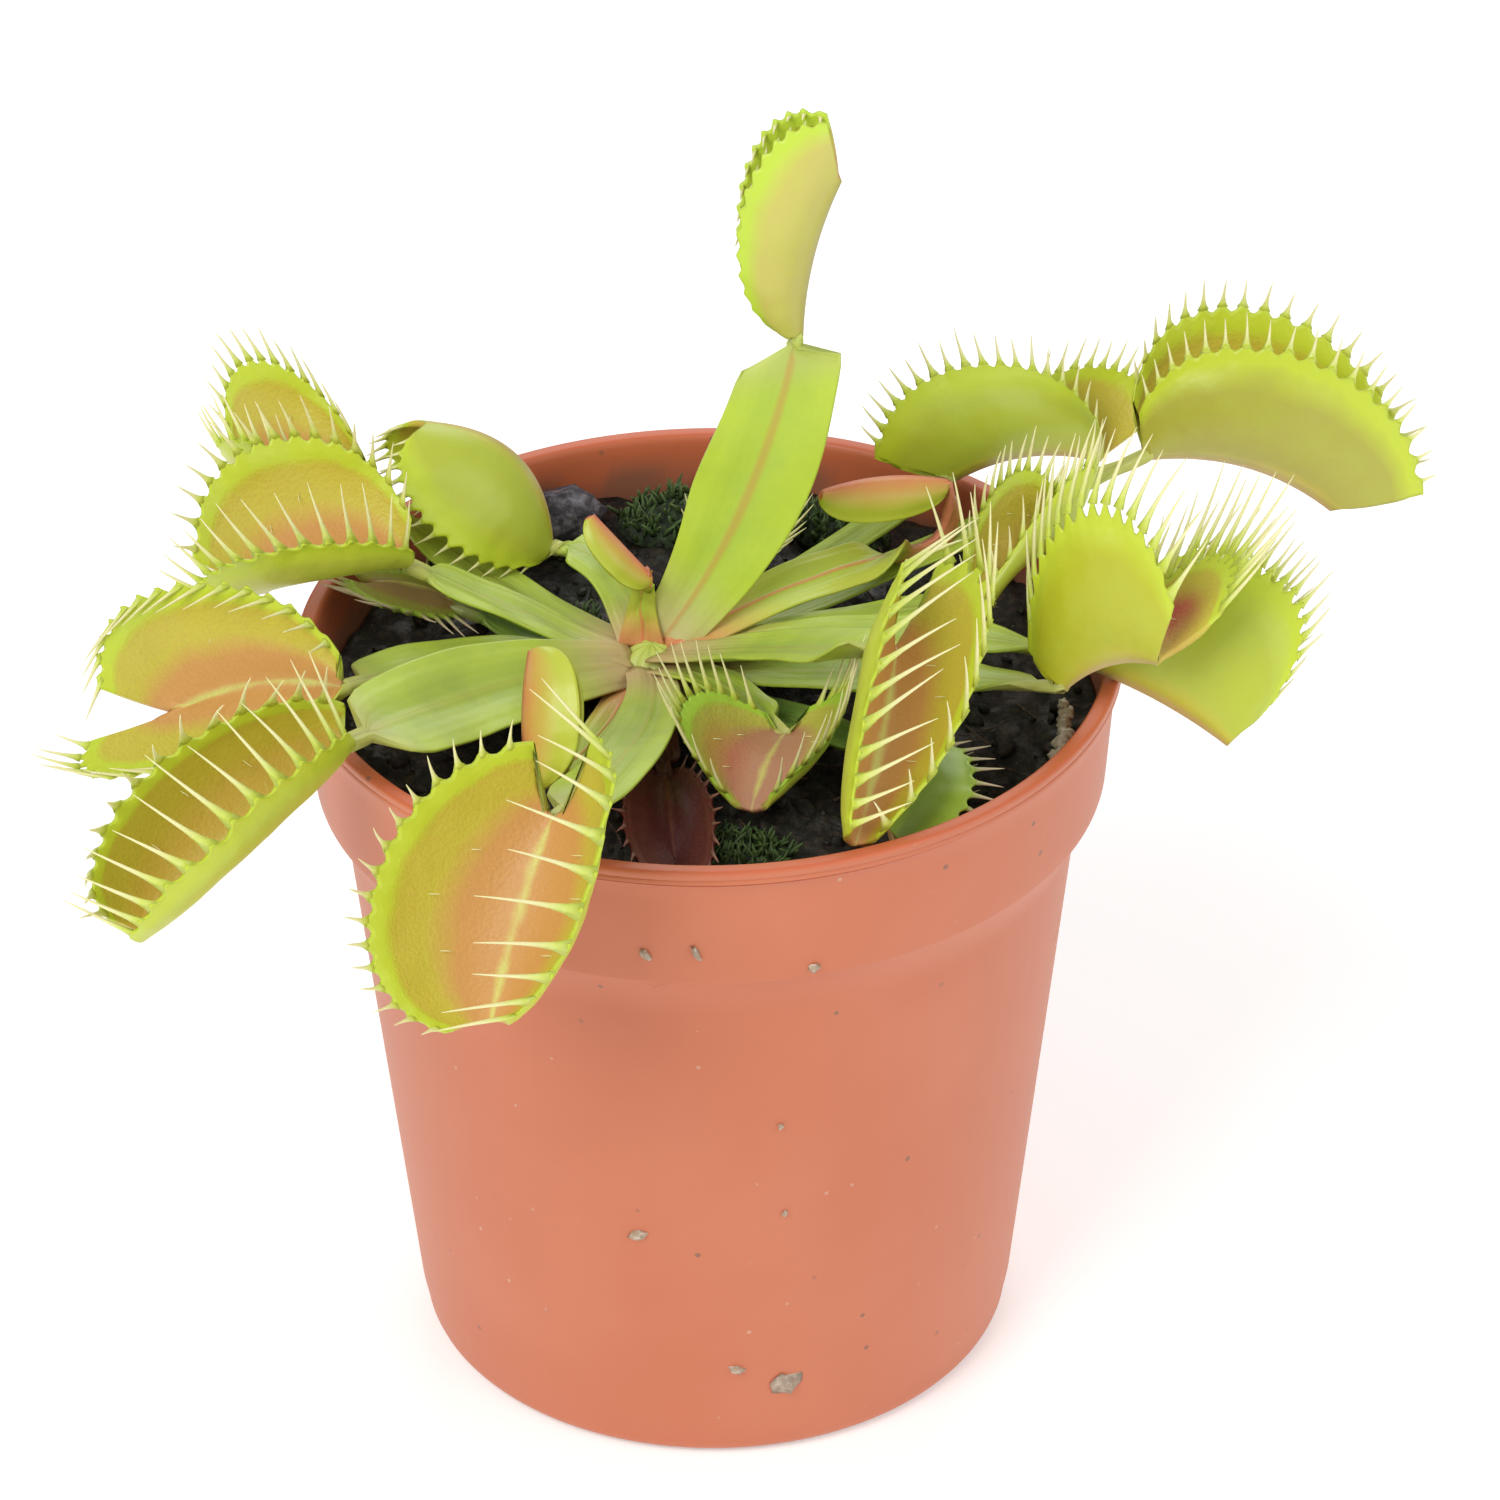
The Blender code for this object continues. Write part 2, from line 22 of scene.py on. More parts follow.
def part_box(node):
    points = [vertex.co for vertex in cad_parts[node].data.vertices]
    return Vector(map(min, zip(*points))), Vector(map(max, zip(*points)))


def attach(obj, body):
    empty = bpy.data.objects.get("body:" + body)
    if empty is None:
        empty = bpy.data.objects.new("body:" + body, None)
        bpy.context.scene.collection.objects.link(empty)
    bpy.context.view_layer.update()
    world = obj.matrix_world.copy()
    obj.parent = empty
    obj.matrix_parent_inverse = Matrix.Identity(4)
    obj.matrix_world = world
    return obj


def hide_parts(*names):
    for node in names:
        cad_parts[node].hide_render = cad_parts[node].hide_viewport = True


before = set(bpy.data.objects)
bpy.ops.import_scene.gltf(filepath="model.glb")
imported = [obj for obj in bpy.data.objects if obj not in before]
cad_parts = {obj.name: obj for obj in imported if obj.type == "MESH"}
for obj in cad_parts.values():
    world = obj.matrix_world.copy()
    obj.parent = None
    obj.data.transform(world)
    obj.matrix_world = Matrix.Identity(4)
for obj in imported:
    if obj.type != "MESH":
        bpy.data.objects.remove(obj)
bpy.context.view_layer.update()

log = logging.getLogger("flytrap")

MM = 0.001
ROOT = "root"
Colour = tuple[float, float, float]
Point = tuple[float, float, float]

CROWN = Vector((-6.0, 6.0, 74.0))
CROWN_RADIUS = 6.0
SOIL_LEVEL = 73.2
SOIL_SLOPE = 0.06


def ground(x: float, y: float) -> float:
    """Height of the soil's mean surface at a place, in millimetres."""
    return SOIL_LEVEL + SOIL_SLOPE * y


def smooth(low: float, high: float, value: float) -> float:
    """A soft step from 0 at low to 1 at high."""
    part = min(1.0, max(0.0, (value - low) / (high - low)))
    return part * part * (3 - 2 * part)


def square_to(vector: Vector, axis: Vector) -> Vector:
    """The part of a vector at right angles to a unit axis, one unit long."""
    return (vector - axis * vector.dot(axis)).normalized()


def upwards(height: float) -> Vector:
    """A step straight up."""
    return Vector((0.0, 0.0, height))


# ---------------------------------------------------------------- shader expressions


@dataclass(frozen=True)
class Signal:
    """A number that varies over a surface, as one output socket of a material's nodes."""

    paint: Paint
    socket: bpy.types.NodeSocket

    def maths(self, operation: str, first: Signal | float, second: Signal | float) -> Signal:
        """Add a Math node.

        Args:
            operation: the node's operation, such as MULTIPLY.
            first: its first value.
            second: its second value.

        Returns:
            The node's result.
        """
        return self.paint.node("ShaderNodeMath", {"operation": operation}, {0: first, 1: second})

    def __add__(self, other: Signal | float) -> Signal:
        """This plus other."""
        return self.maths("ADD", self, other)

    def __radd__(self, other: float) -> Signal:
        """A number plus this."""
        return self.maths("ADD", other, self)

    def __sub__(self, other: Signal | float) -> Signal:
        """This minus other."""
        return self.maths("SUBTRACT", self, other)

    def __rsub__(self, other: float) -> Signal:
        """A number minus this."""
        return self.maths("SUBTRACT", other, self)

    def __mul__(self, other: Signal | float) -> Signal:
        """This times other."""
        return self.maths("MULTIPLY", self, other)

    def __rmul__(self, other: float) -> Signal:
        """A number times this."""
        return self.maths("MULTIPLY", other, self)

    def step(self, low: float, high: float) -> Signal:
        """A soft step from 0 at low to 1 at high.

        Args:
            low: where the step starts. It may be above high, for a step that falls.
            high: where it ends.

        Returns:
            The step's value.
        """
        settings = {"interpolation_type": "SMOOTHSTEP"}
        if low < high:
            inputs = {0: self, 1: low, 2: high, 3: 0.0, 4: 1.0}
        else:
            inputs = {0: self, 1: high, 2: low, 3: 1.0, 4: 0.0}
        return self.paint.node("ShaderNodeMapRange", settings, inputs)


class Paint:
    """One material's node tree, with its Principled shader."""

    def __init__(self, name: str) -> None:
        """Start a material.

        Args:
            name: the material's name.
        """
        self.material = bpy.data.materials.new(name)
        self.material.use_nodes = True
        self.tree = self.material.node_tree
        self.shader = self.tree.nodes["Principled BSDF"]

    def feed(self, socket: bpy.types.NodeSocket, value: Signal | Colour | float) -> None:
        """Give a socket a value or a link.

        Args:
            socket: the input socket.
            value: a signal to link, a colour of three numbers, or a number.
        """
        if isinstance(value, Signal):
            self.tree.links.new(value.socket, socket)
        elif isinstance(value, tuple) and socket.type == "RGBA":
            socket.default_value = (*value, 1.0)
        else:
            socket.default_value = value

    def node(self, kind: str, settings: dict | None = None, inputs: dict | None = None,
             output: int | str = 0) -> Signal:
        """Add any node.

        Args:
            kind: the node's type.
            settings: its properties, set first. Stops are a colour ramp's places and colours.
            inputs: its sockets' values or links, by name or number.
            output: the output wanted, by name or number.

        Returns:
            That output.
        """
        made = self.tree.nodes.new(kind)
        for name, value in (settings or {}).items():
            if name == "stops":
                self.set_stops(made.color_ramp, value)
            else:
                setattr(made, name, value)
        for name, value in (inputs or {}).items():
            self.feed(made.inputs[name], value)
        return Signal(self, made.outputs[output])

    @staticmethod
    def set_stops(ramp: bpy.types.ColorRamp, stops: tuple) -> None:
        """Lay out a colour ramp.

        Args:
            ramp: the ramp.
            stops: pairs of place and colour, in order.
        """
        while len(ramp.elements) < len(stops):
            ramp.elements.new(0.5)
        for element, (place, colour) in zip(ramp.elements, stops):
            element.position = place
            element.color = (*colour, 1.0)

    def attribute(self, name: str) -> Signal:
        """A number stored on the piece's vertices."""
        return self.node("ShaderNodeAttribute", {"attribute_name": name}, output="Fac")

    def place(self) -> Signal:
        """Where the surface is, in metres."""
        return self.node("ShaderNodeTexCoord", output="Object")

    def grain(self, size: float, detail: float = 3.0, rough: float = 0.5) -> Signal:
        """Soft random noise from 0 to 1.

        Args:
            size: width of its blotches, in millimetres.
            detail: how many finer layers it has.
            rough: how strong those are.

        Returns:
            The noise.
        """
        inputs = {"Vector": self.place(), "Scale": 1.0 / (size * MM), "Detail": detail,
                  "Roughness": rough}
        return self.node("ShaderNodeTexNoise", {"noise_dimensions": "3D"}, inputs)

    def cells(self, size: float) -> Signal:
        """Distance to the nearest of many random points.

        Args:
            size: width of a cell, in millimetres.

        Returns:
            The distance, by the cell's size.
        """
        inputs = {"Vector": self.place(), "Scale": 1.0 / (size * MM)}
        return self.node("ShaderNodeTexVoronoi", {"feature": "F1"}, inputs)

    def mix(self, share: Signal | float, first: Signal | Colour, second: Signal | Colour) -> Signal:
        """Blend two colours.

        Args:
            share: how much of the second, from 0 to 1.
            first: the colour at 0.
            second: the colour at 1.

        Returns:
            The blend.
        """
        inputs = {0: share, 6: first, 7: second}
        return self.node("ShaderNodeMix", {"data_type": "RGBA"}, inputs, output=2)

    def ramp(self, value: Signal, stops: tuple) -> Signal:
        """Turn a number into a colour.

        Args:
            value: the number, from 0 to 1.
            stops: pairs of place and colour, in order.

        Returns:
            The colour.
        """
        return self.node("ShaderNodeValToRGB", {"stops": stops}, {0: value})

    def bump(self, height: Signal, depth: float) -> None:
        """Raise fine relief on the shader's normal.

        Args:
            height: the relief, from 0 to 1.
            depth: its depth, in millimetres.
        """
        inputs = {"Strength": 1.0, "Distance": depth * MM, "Height": height}
        self.feed(self.shader.inputs["Normal"], self.node("ShaderNodeBump", None, inputs))

    def finish(self, **values: Signal | Colour | float) -> bpy.types.Material:
        """Set the shader's sockets.

        Args:
            values: each socket's value, named with underscores for spaces.

        Returns:
            The material.
        """
        for name, value in values.items():
            title = name.replace("_", " ").title().replace("Ior", "IOR")
            self.feed(self.shader.inputs[title], value)
        return self.material


# ---------------------------------------------------------------- finishes


@dataclass(frozen=True)
class LeafFinish:
    """A leaf's skin: green blade, lime margin, and a flushed lining in the trap."""

    name: str
    leaf: Colour = (0.46, 0.59, 0.065)
    shade: Colour = (0.33, 0.44, 0.075)
    margin: Colour = (0.55, 0.66, 0.035)
    glow: Colour = (0.58, 0.50, 0.05)
    flush: Colour = (0.62, 0.31, 0.085)
    hinge: Colour = (0.66, 0.62, 0.16)
    outer: Colour = (0.53, 0.57, 0.06)
    foot: Colour = (0.66, 0.44, 0.28)
    spot: Colour = (0.50, 0.09, 0.05)
    foot_reach: float = 0.22
    rib_blush: float = 0.15
    neck_blush: float = 0.3
    rim_reach: float = 0.14
    blush: float = 1.0
    roughness: float = 0.40
    gland_size: float = 0.42
    veins: float = 30.0

    def blade_colour(self, paint: Paint) -> Signal:
        """The blade's green, paler at its edges and pink at its foot."""
        along, across = paint.attribute("along"), paint.attribute("across")
        mottle = paint.grain(3.5, 4.0).step(0.35, 0.68)
        middle = (1.0 - across.step(0.1, 0.85)) * 0.55 + mottle * 0.35
        green = paint.mix(middle, self.leaf, self.shade)
        foot = 1.0 - along.step(0.02, self.foot_reach + 0.12)
        rib = across.step(0.16, 0.02) * self.rib_blush
        pinked = paint.mix(foot * 0.8, green, self.foot)
        neck = along.step(0.84, 0.95) * self.neck_blush
        pinked = paint.mix(neck, pinked, self.foot)
        return paint.mix(rib, pinked, self.flush)

    def lining(self) -> bpy.types.Material:
        """The upper skin: the blade's top and the inside of the trap."""
        paint = Paint(self.name + " lining")
        across, lobe = paint.attribute("across"), paint.attribute("lobe")
        place = across + (paint.grain(4.0, 3.0) - 0.5) * 0.12
        flush = paint.mix(self.blush, self.glow, self.flush)
        stops = ((0.0, self.hinge), (0.05, self.flush), (0.28, self.flush), (0.50, self.glow),
                 (0.75, self.glow), (0.83, self.margin))
        warm = paint.ramp(place, stops)
        warm = paint.mix((1.0 - self.blush) * 0.9, warm, self.glow)
        warm = paint.mix(paint.attribute("patch") * place.step(0.74, 0.5), warm, self.spot)
        glands = paint.cells(self.gland_size)
        warm = paint.mix(glands.step(0.42, 0.18) * place.step(0.84, 0.74) * 0.22, warm, flush)
        band = place.step(0.80, 0.86)
        warm = paint.mix(band, warm, self.margin)
        colour = paint.mix(lobe, self.blade_colour(paint), warm)
        veins = paint.node("ShaderNodeMath", {"operation": "SINE"}, {0: across * self.veins})
        relief = (1.0 - glands) * lobe * (1.0 - band) * 0.5 + paint.grain(1.2, 2.0) * 0.5
        paint.bump(relief + veins * (1.0 - lobe) * 0.08, 0.10)
        rough = paint.grain(2.0) * 0.12 + (self.roughness - 0.04) + lobe * (1.0 - band) * 0.08
        return paint.finish(base_color=colour, roughness=rough, coat_weight=0.08,
                            coat_roughness=0.3)

    def skin(self) -> bpy.types.Material:
        """The lower skin: the blade's underside and the outside of the trap."""
        paint = Paint(self.name + " skin")
        across, lobe = paint.attribute("across"), paint.attribute("lobe")
        place = across + (paint.grain(5.0, 2.0) - 0.5) * 0.16
        stops = ((0.0, self.glow), (self.rim_reach, self.outer), (0.66, self.outer),
                 (0.86, self.margin))
        back = paint.ramp(place, stops)
        mottle = paint.grain(3.0, 4.0).step(0.4, 0.75)
        back = paint.mix(mottle * place.step(0.8, 0.5) * 0.2, back, self.leaf)
        rib = across.step(0.05, 0.01) * 0.5
        back = paint.mix(rib, back, self.foot)
        colour = paint.mix(lobe, self.blade_colour(paint), back)
        paint.bump(paint.grain(1.4, 3.0), 0.07)
        rough = paint.grain(2.4) * 0.14 + (self.roughness - 0.06)
        return paint.finish(base_color=colour, roughness=rough, coat_weight=0.1,
                            coat_roughness=0.28)


@dataclass(frozen=True)
class ToothFinish:
    """Marginal teeth: lime at the root, fading to pale cream."""

    name: str
    root: Colour = (0.60, 0.70, 0.09)
    tip: Colour = (0.86, 0.82, 0.42)
    # Colour of paler random patches on the teeth.
    pale_patch: Colour = (0.90, 0.88, 0.62)

    def material(self) -> bpy.types.Material:
        """The teeth's material."""
        paint = Paint(self.name)
        reach = paint.attribute("reach")
        colour = paint.mix(reach.step(0.06, 0.55), self.root, self.tip)
        # Paler random patches over the teeth.
        colour = paint.mix(paint.grain(0.8).step(0.45, 0.8) * 0.2, colour, self.pale_patch)
        paint.bump(paint.grain(0.5), 0.03)
        return paint.finish(base_color=colour, roughness=0.36 + reach * 0.1)


@dataclass(frozen=True)
class PlasticFinish:
    """Thin moulded plastic with the soil of a nursery bench on it."""

    name: str
    body: Colour = (0.565, 0.165, 0.078)
    fade: Colour = (0.62, 0.208, 0.112)
    lip: Colour = (0.60, 0.14, 0.06)
    dirt: Colour = (0.16, 0.11, 0.08)
    dust: Colour = (0.62, 0.46, 0.34)

    def material(self) -> bpy.types.Material:
        """The plastic's material."""
        paint = Paint(self.name)
        cloud = paint.grain(22.0, 3.0)
        colour = paint.mix(cloud.step(0.35, 0.7) * 0.5, self.body, self.fade)
        # The lip mask gives the lip colour on the top edge and painted shade on the inside wall.
        colour = paint.mix(paint.attribute("lip"), colour, self.lip)
        spread = paint.grain(14.0, 4.0).step(0.50, 0.66)
        dust = paint.cells(3.4).step(0.085, 0.05) * spread
        colour = paint.mix(dust * 0.6, colour, self.dust)
        dirt = paint.cells(5.3).step(0.075, 0.04) * (1.0 - spread)
        colour = paint.mix(dirt * 0.7, colour, self.dirt)
        smear = paint.grain(7.0, 5.0, 0.65).step(0.66, 0.78)
        colour = paint.mix(smear * 0.12, colour, self.dirt)
        colour = paint.mix(paint.attribute("wet") * 0.6, colour, self.dirt)
        stretch = paint.node("ShaderNodeMapping", None, {0: paint.place(), 3: (1.0, 1.0, 0.04)})
        fine = paint.node("ShaderNodeTexNoise", None,
                          {"Vector": stretch, "Scale": 900.0, "Detail": 2.0})
        paint.bump(fine * 0.5 + paint.grain(0.9, 2.0) * 0.5, 0.025)
        rough = 0.40 + cloud * 0.10 + smear * 0.15
        return paint.finish(base_color=colour, roughness=rough, specular_ior_level=0.45)


@dataclass(frozen=True)
class EarthFinish:
    """Peat and what lies on it: dark, damp and crumbly."""

    name: str
    dark: Colour
    pale: Colour
    tint: Colour
    fleck: Colour = (0.30, 0.26, 0.20)
    tint_share: float = 0.3
    wet: float = 0.5
    grain: float = 0.9
    depth: float = 0.35

    def material(self) -> bpy.types.Material:
        """The earth's material."""
        paint = Paint(self.name)
        crumbs = paint.grain(self.grain, 6.0, 0.62)
        colour = paint.mix(crumbs.step(0.42, 0.72), self.dark, self.pale)
        algae = paint.grain(6.0, 3.0).step(0.48, 0.66)
        colour = paint.mix(algae * self.tint_share, colour, self.tint)
        flecks = paint.cells(1.7).step(0.10, 0.05)
        colour = paint.mix(flecks * 0.35, colour, self.fleck)
        paint.bump(crumbs, self.depth)
        damp = paint.grain(2.6, 3.0).step(0.45, 0.62)
        return paint.finish(base_color=colour, roughness=0.86 - damp * self.wet,
                            specular_ior_level=0.5)


PEAT = EarthFinish("wet peat", dark=(0.008, 0.006, 0.005), pale=(0.050, 0.034, 0.022),
                   tint=(0.018, 0.035, 0.010), tint_share=0.35)
FIBRE = EarthFinish("root fibre", dark=(0.05, 0.03, 0.02), pale=(0.16, 0.10, 0.05),
                    tint=(0.08, 0.07, 0.03), wet=0.2)
BARK = EarthFinish("wet bark", dark=(0.035, 0.030, 0.038), pale=(0.20, 0.18, 0.21),
                   tint=(0.06, 0.05, 0.07), grain=1.3, depth=0.25)
GRIT = EarthFinish("pale grit", dark=(0.55, 0.46, 0.33), pale=(0.86, 0.80, 0.68),
                   tint=(0.62, 0.52, 0.38), tint_share=0.4, wet=0.1, grain=0.7, depth=0.12)
DUST = EarthFinish("dried crumb", dark=(0.42, 0.31, 0.22), pale=(0.75, 0.64, 0.52),
                   tint=(0.30, 0.24, 0.18), tint_share=0.5, wet=0.1, grain=0.6, depth=0.15)
MOSS = EarthFinish("moss cushion", dark=(0.006, 0.012, 0.004), pale=(0.04, 0.07, 0.016),
                   tint=(0.02, 0.05, 0.01), tint_share=0.5, wet=0.3, grain=0.7, depth=0.4)


@dataclass(frozen=True)
class ShootFinish:
    """Moss shoots, darker at the foot than at the tip, with random patches of painted shade."""

    name: str
    foot: Colour = (0.010, 0.022, 0.006)
    tip: Colour = (0.075, 0.14, 0.028)
    # Colour of the painted shade laid in patches over the shoots.
    painted_shade: Colour = (0.035, 0.05, 0.012)

    def material(self) -> bpy.types.Material:
        """The shoots' material."""
        paint = Paint(self.name)
        colour = paint.mix(paint.attribute("reach"), self.foot, self.tip)
        # Painted shade: random patches of the shoots are darkened towards the shade colour.
        colour = paint.mix(paint.grain(2.2, 2.0).step(0.4, 0.7) * 0.5, colour, self.painted_shade)
        paint.bump(paint.grain(0.4), 0.05)
        return paint.finish(base_color=colour, roughness=0.62 - paint.grain(1.1) * 0.15)


class LeafStyle(Enum):
    """The colourings that the leaves come in."""

    LIME = LeafFinish("lime leaf")
    SUNNY = LeafFinish("sunny leaf", flush=(0.58, 0.40, 0.055), glow=(0.58, 0.50, 0.045),
                       outer=(0.50, 0.58, 0.05), blush=0.9)
    GREENISH = LeafFinish("greenish leaf", outer=(0.46, 0.53, 0.045), flush=(0.60, 0.42, 0.08),
                          blush=0.6)
    OLIVE = LeafFinish("olive leaf", outer=(0.42, 0.41, 0.05), leaf=(0.44, 0.58, 0.06),
                       blush=0.7)
    SPOTTED = LeafFinish("spotted leaf", outer=(0.48, 0.50, 0.022), spot=(0.58, 0.10, 0.07),
                         blush=0.2)
    ROSY = LeafFinish("rosy leaf", flush=(0.52, 0.25, 0.14), glow=(0.50, 0.50, 0.07),
                      margin=(0.42, 0.66, 0.05))
    TALL = LeafFinish("tall leaf", leaf=(0.55, 0.71, 0.06), shade=(0.46, 0.63, 0.075),
                      outer=(0.62, 0.56, 0.13), margin=(0.56, 0.74, 0.06), rib_blush=0.55,
                      foot=(0.60, 0.52, 0.30))
    YOUNG = LeafFinish("young leaf", leaf=(0.52, 0.58, 0.07), shade=(0.44, 0.56, 0.06),
                       outer=(0.50, 0.56, 0.05), glow=(0.78, 0.22, 0.11),
                       margin=(0.52, 0.58, 0.05), flush=(0.76, 0.20, 0.10),
                       foot=(0.72, 0.22, 0.13), rib_blush=0.7, foot_reach=0.3,
                       neck_blush=0.95, rim_reach=0.75)
    DARK = LeafFinish("old leaf", leaf=(0.10, 0.018, 0.014), shade=(0.06, 0.012, 0.012),
                      outer=(0.10, 0.012, 0.012), glow=(0.13, 0.016, 0.014),
                      margin=(0.16, 0.03, 0.02), flush=(0.10, 0.010, 0.012),
                      hinge=(0.18, 0.05, 0.02), foot=(0.20, 0.05, 0.03), roughness=0.45)
    SHADED = LeafFinish("shaded leaf", leaf=(0.26, 0.40, 0.06), shade=(0.17, 0.31, 0.06),
                        outer=(0.24, 0.36, 0.04), margin=(0.36, 0.52, 0.05),
                        glow=(0.34, 0.34, 0.05), flush=(0.36, 0.22, 0.07))


# ---------------------------------------------------------------- meshes


def place_mesh(name: str, builder: bmesh.types.BMesh,
               materials: tuple[bpy.types.Material, ...] = ()) -> bpy.types.Object:
    """Turn a bmesh in millimetres into an object in metres.

    Args:
        name: the object's name.
        builder: its shape. It is freed.
        materials: its materials, by material index.

    Returns:
        The object, in the scene.
    """
    bmesh.ops.scale(builder, vec=(MM, MM, MM), verts=builder.verts)
    mesh = bpy.data.meshes.new(name)
    builder.to_mesh(mesh)
    builder.free()
    for material in materials:
        mesh.materials.append(material)
    thing = bpy.data.objects.new(name, mesh)
    bpy.context.scene.collection.objects.link(thing)
    return thing


def finish_piece(name: str, builder: bmesh.types.BMesh,
                 materials: tuple[bpy.types.Material, ...],
                 nodes: tuple[str, ...] = ()) -> bpy.types.Object:
    """Turn a bmesh in millimetres into a piece that rides on the plant.

    Args:
        name: the piece's name.
        builder: its shape. It is freed.
        materials: its materials, by material index.
        nodes: the solids that it stands for.

    Returns:
        The piece.
    """
    piece = place_mesh(name, builder, materials)
    piece.data.shade_smooth()
    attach(piece, ROOT)
    if nodes:
        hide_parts(*nodes)
    log.info("%s: %d faces", name, len(piece.data.polygons))
    return piece


def middle_of(low: Vector, high: Vector) -> tuple[Vector, Vector]:
    """Middle and half size, in millimetres, of a box whose corners are in metres."""
    return (low + high) / (2 * MM), (high - low) / (2 * MM)


def turned(points: list[tuple[float, float]], steps: int) -> bmesh.types.BMesh:
    """Spin an open profile that starts and ends on the axis into a closed body.

    Args:
        points: radius and height, from the axis round to the axis.
        steps: how many sides the body has.

    Returns:
        The body.
    """
    builder = bmesh.new()
    verts = [builder.verts.new((radius, 0.0, height)) for radius, height in points]
    edges = [builder.edges.new(pair) for pair in zip(verts, verts[1:])]
    bmesh.ops.spin(builder, geom=verts + edges, cent=(0, 0, 0), axis=(0, 0, 1),
                   angle=math.tau, steps=steps, use_merge=True, use_duplicate=False)
    bmesh.ops.remove_doubles(builder, verts=builder.verts, dist=0.0005)
    bmesh.ops.recalc_face_normals(builder, faces=builder.faces)
    return builder


class Spike:
    """A thin tapered rod that is copied many times: a tooth, a hair, a shoot or a fibre."""

    web_power = 6

    def __init__(self, sides: int, rings: int) -> None:
        """Make the rod once, one unit tall and one unit in radius.

        Args:
            sides: how many sides it has.
            rings: how many stretches it bends in.
        """
        builder = bmesh.new()
        bmesh.ops.create_cone(builder, cap_ends=True, segments=sides, radius1=1.0, radius2=1.0,
                              depth=1.0)
        bmesh.ops.translate(builder, verts=builder.verts, vec=(0, 0, 0.5))
        upright = [edge for edge in builder.edges
                   if abs(edge.verts[0].co.z - edge.verts[1].co.z) > 0.5]
        bmesh.ops.subdivide_edges(builder, edges=upright, cuts=rings - 1)
        self.mesh = bpy.data.meshes.new("spike")
        builder.to_mesh(self.mesh)
        builder.free()
        self.count = len(self.mesh.vertices)

    def plant(self, builder: bmesh.types.BMesh, root: Vector, way: Vector, bend: Vector,
              length: float, radius: float, tip: float = 0.12,
              web: Vector | None = None) -> None:
        """Add one copy, curved from way towards bend.

        Args:
            builder: the bmesh that it joins, with a float layer named reach.
            root: where it starts.
            way: the direction that it starts in.
            bend: the direction that it leans to as it grows.
            length: its length.
            radius: its radius at the root.
            tip: its radius at the tip, by the root's.
            web: how far it flares out sideways at the root, if it does.
        """
        builder.from_mesh(self.mesh)
        reach = builder.verts.layers.float["reach"]
        builder.verts.ensure_lookup_table()
        across = way.orthogonal().normalized()
        if web:
            across = (web - way * web.dot(way)).normalized()
        around = way.cross(across).normalized()
        for vert in builder.verts[-self.count:]:
            part = vert.co.z
            girth = radius * (tip + (1 - tip) * (1 - part) ** 0.8)
            centre = root + way * (part * length) + bend * (part * part * length)
            offset = (across * vert.co.x + around * vert.co.y) * girth
            if web:
                offset += web * (vert.co.x * (1 - part) ** self.web_power)
            vert[reach] = part
            vert.co = centre + offset


def lump(builder: bmesh.types.BMesh, centre: Vector, radii: Vector, turn: Euler, rough: float,
         detail: int, seed: float) -> None:
    """Add one uneven lump.

    Args:
        builder: the bmesh that it joins.
        centre: its middle.
        radii: its half sizes.
        turn: how it is turned.
        rough: how far its surface wanders, by its size.
        detail: how many times its faces are divided.
        seed: an offset that makes it unlike the others.
    """
    made = bmesh.ops.create_icosphere(builder, subdivisions=detail, radius=1.0)["verts"]
    spin = turn.to_matrix()
    for vert in made:
        bulge = 1 + rough * noise.noise(vert.co * 1.7 + Vector((seed, seed * 0.7, 3.1)))
        vert.co = centre + spin @ Vector(a * b for a, b in zip(vert.co * bulge, radii))


# ---------------------------------------------------------------- pot


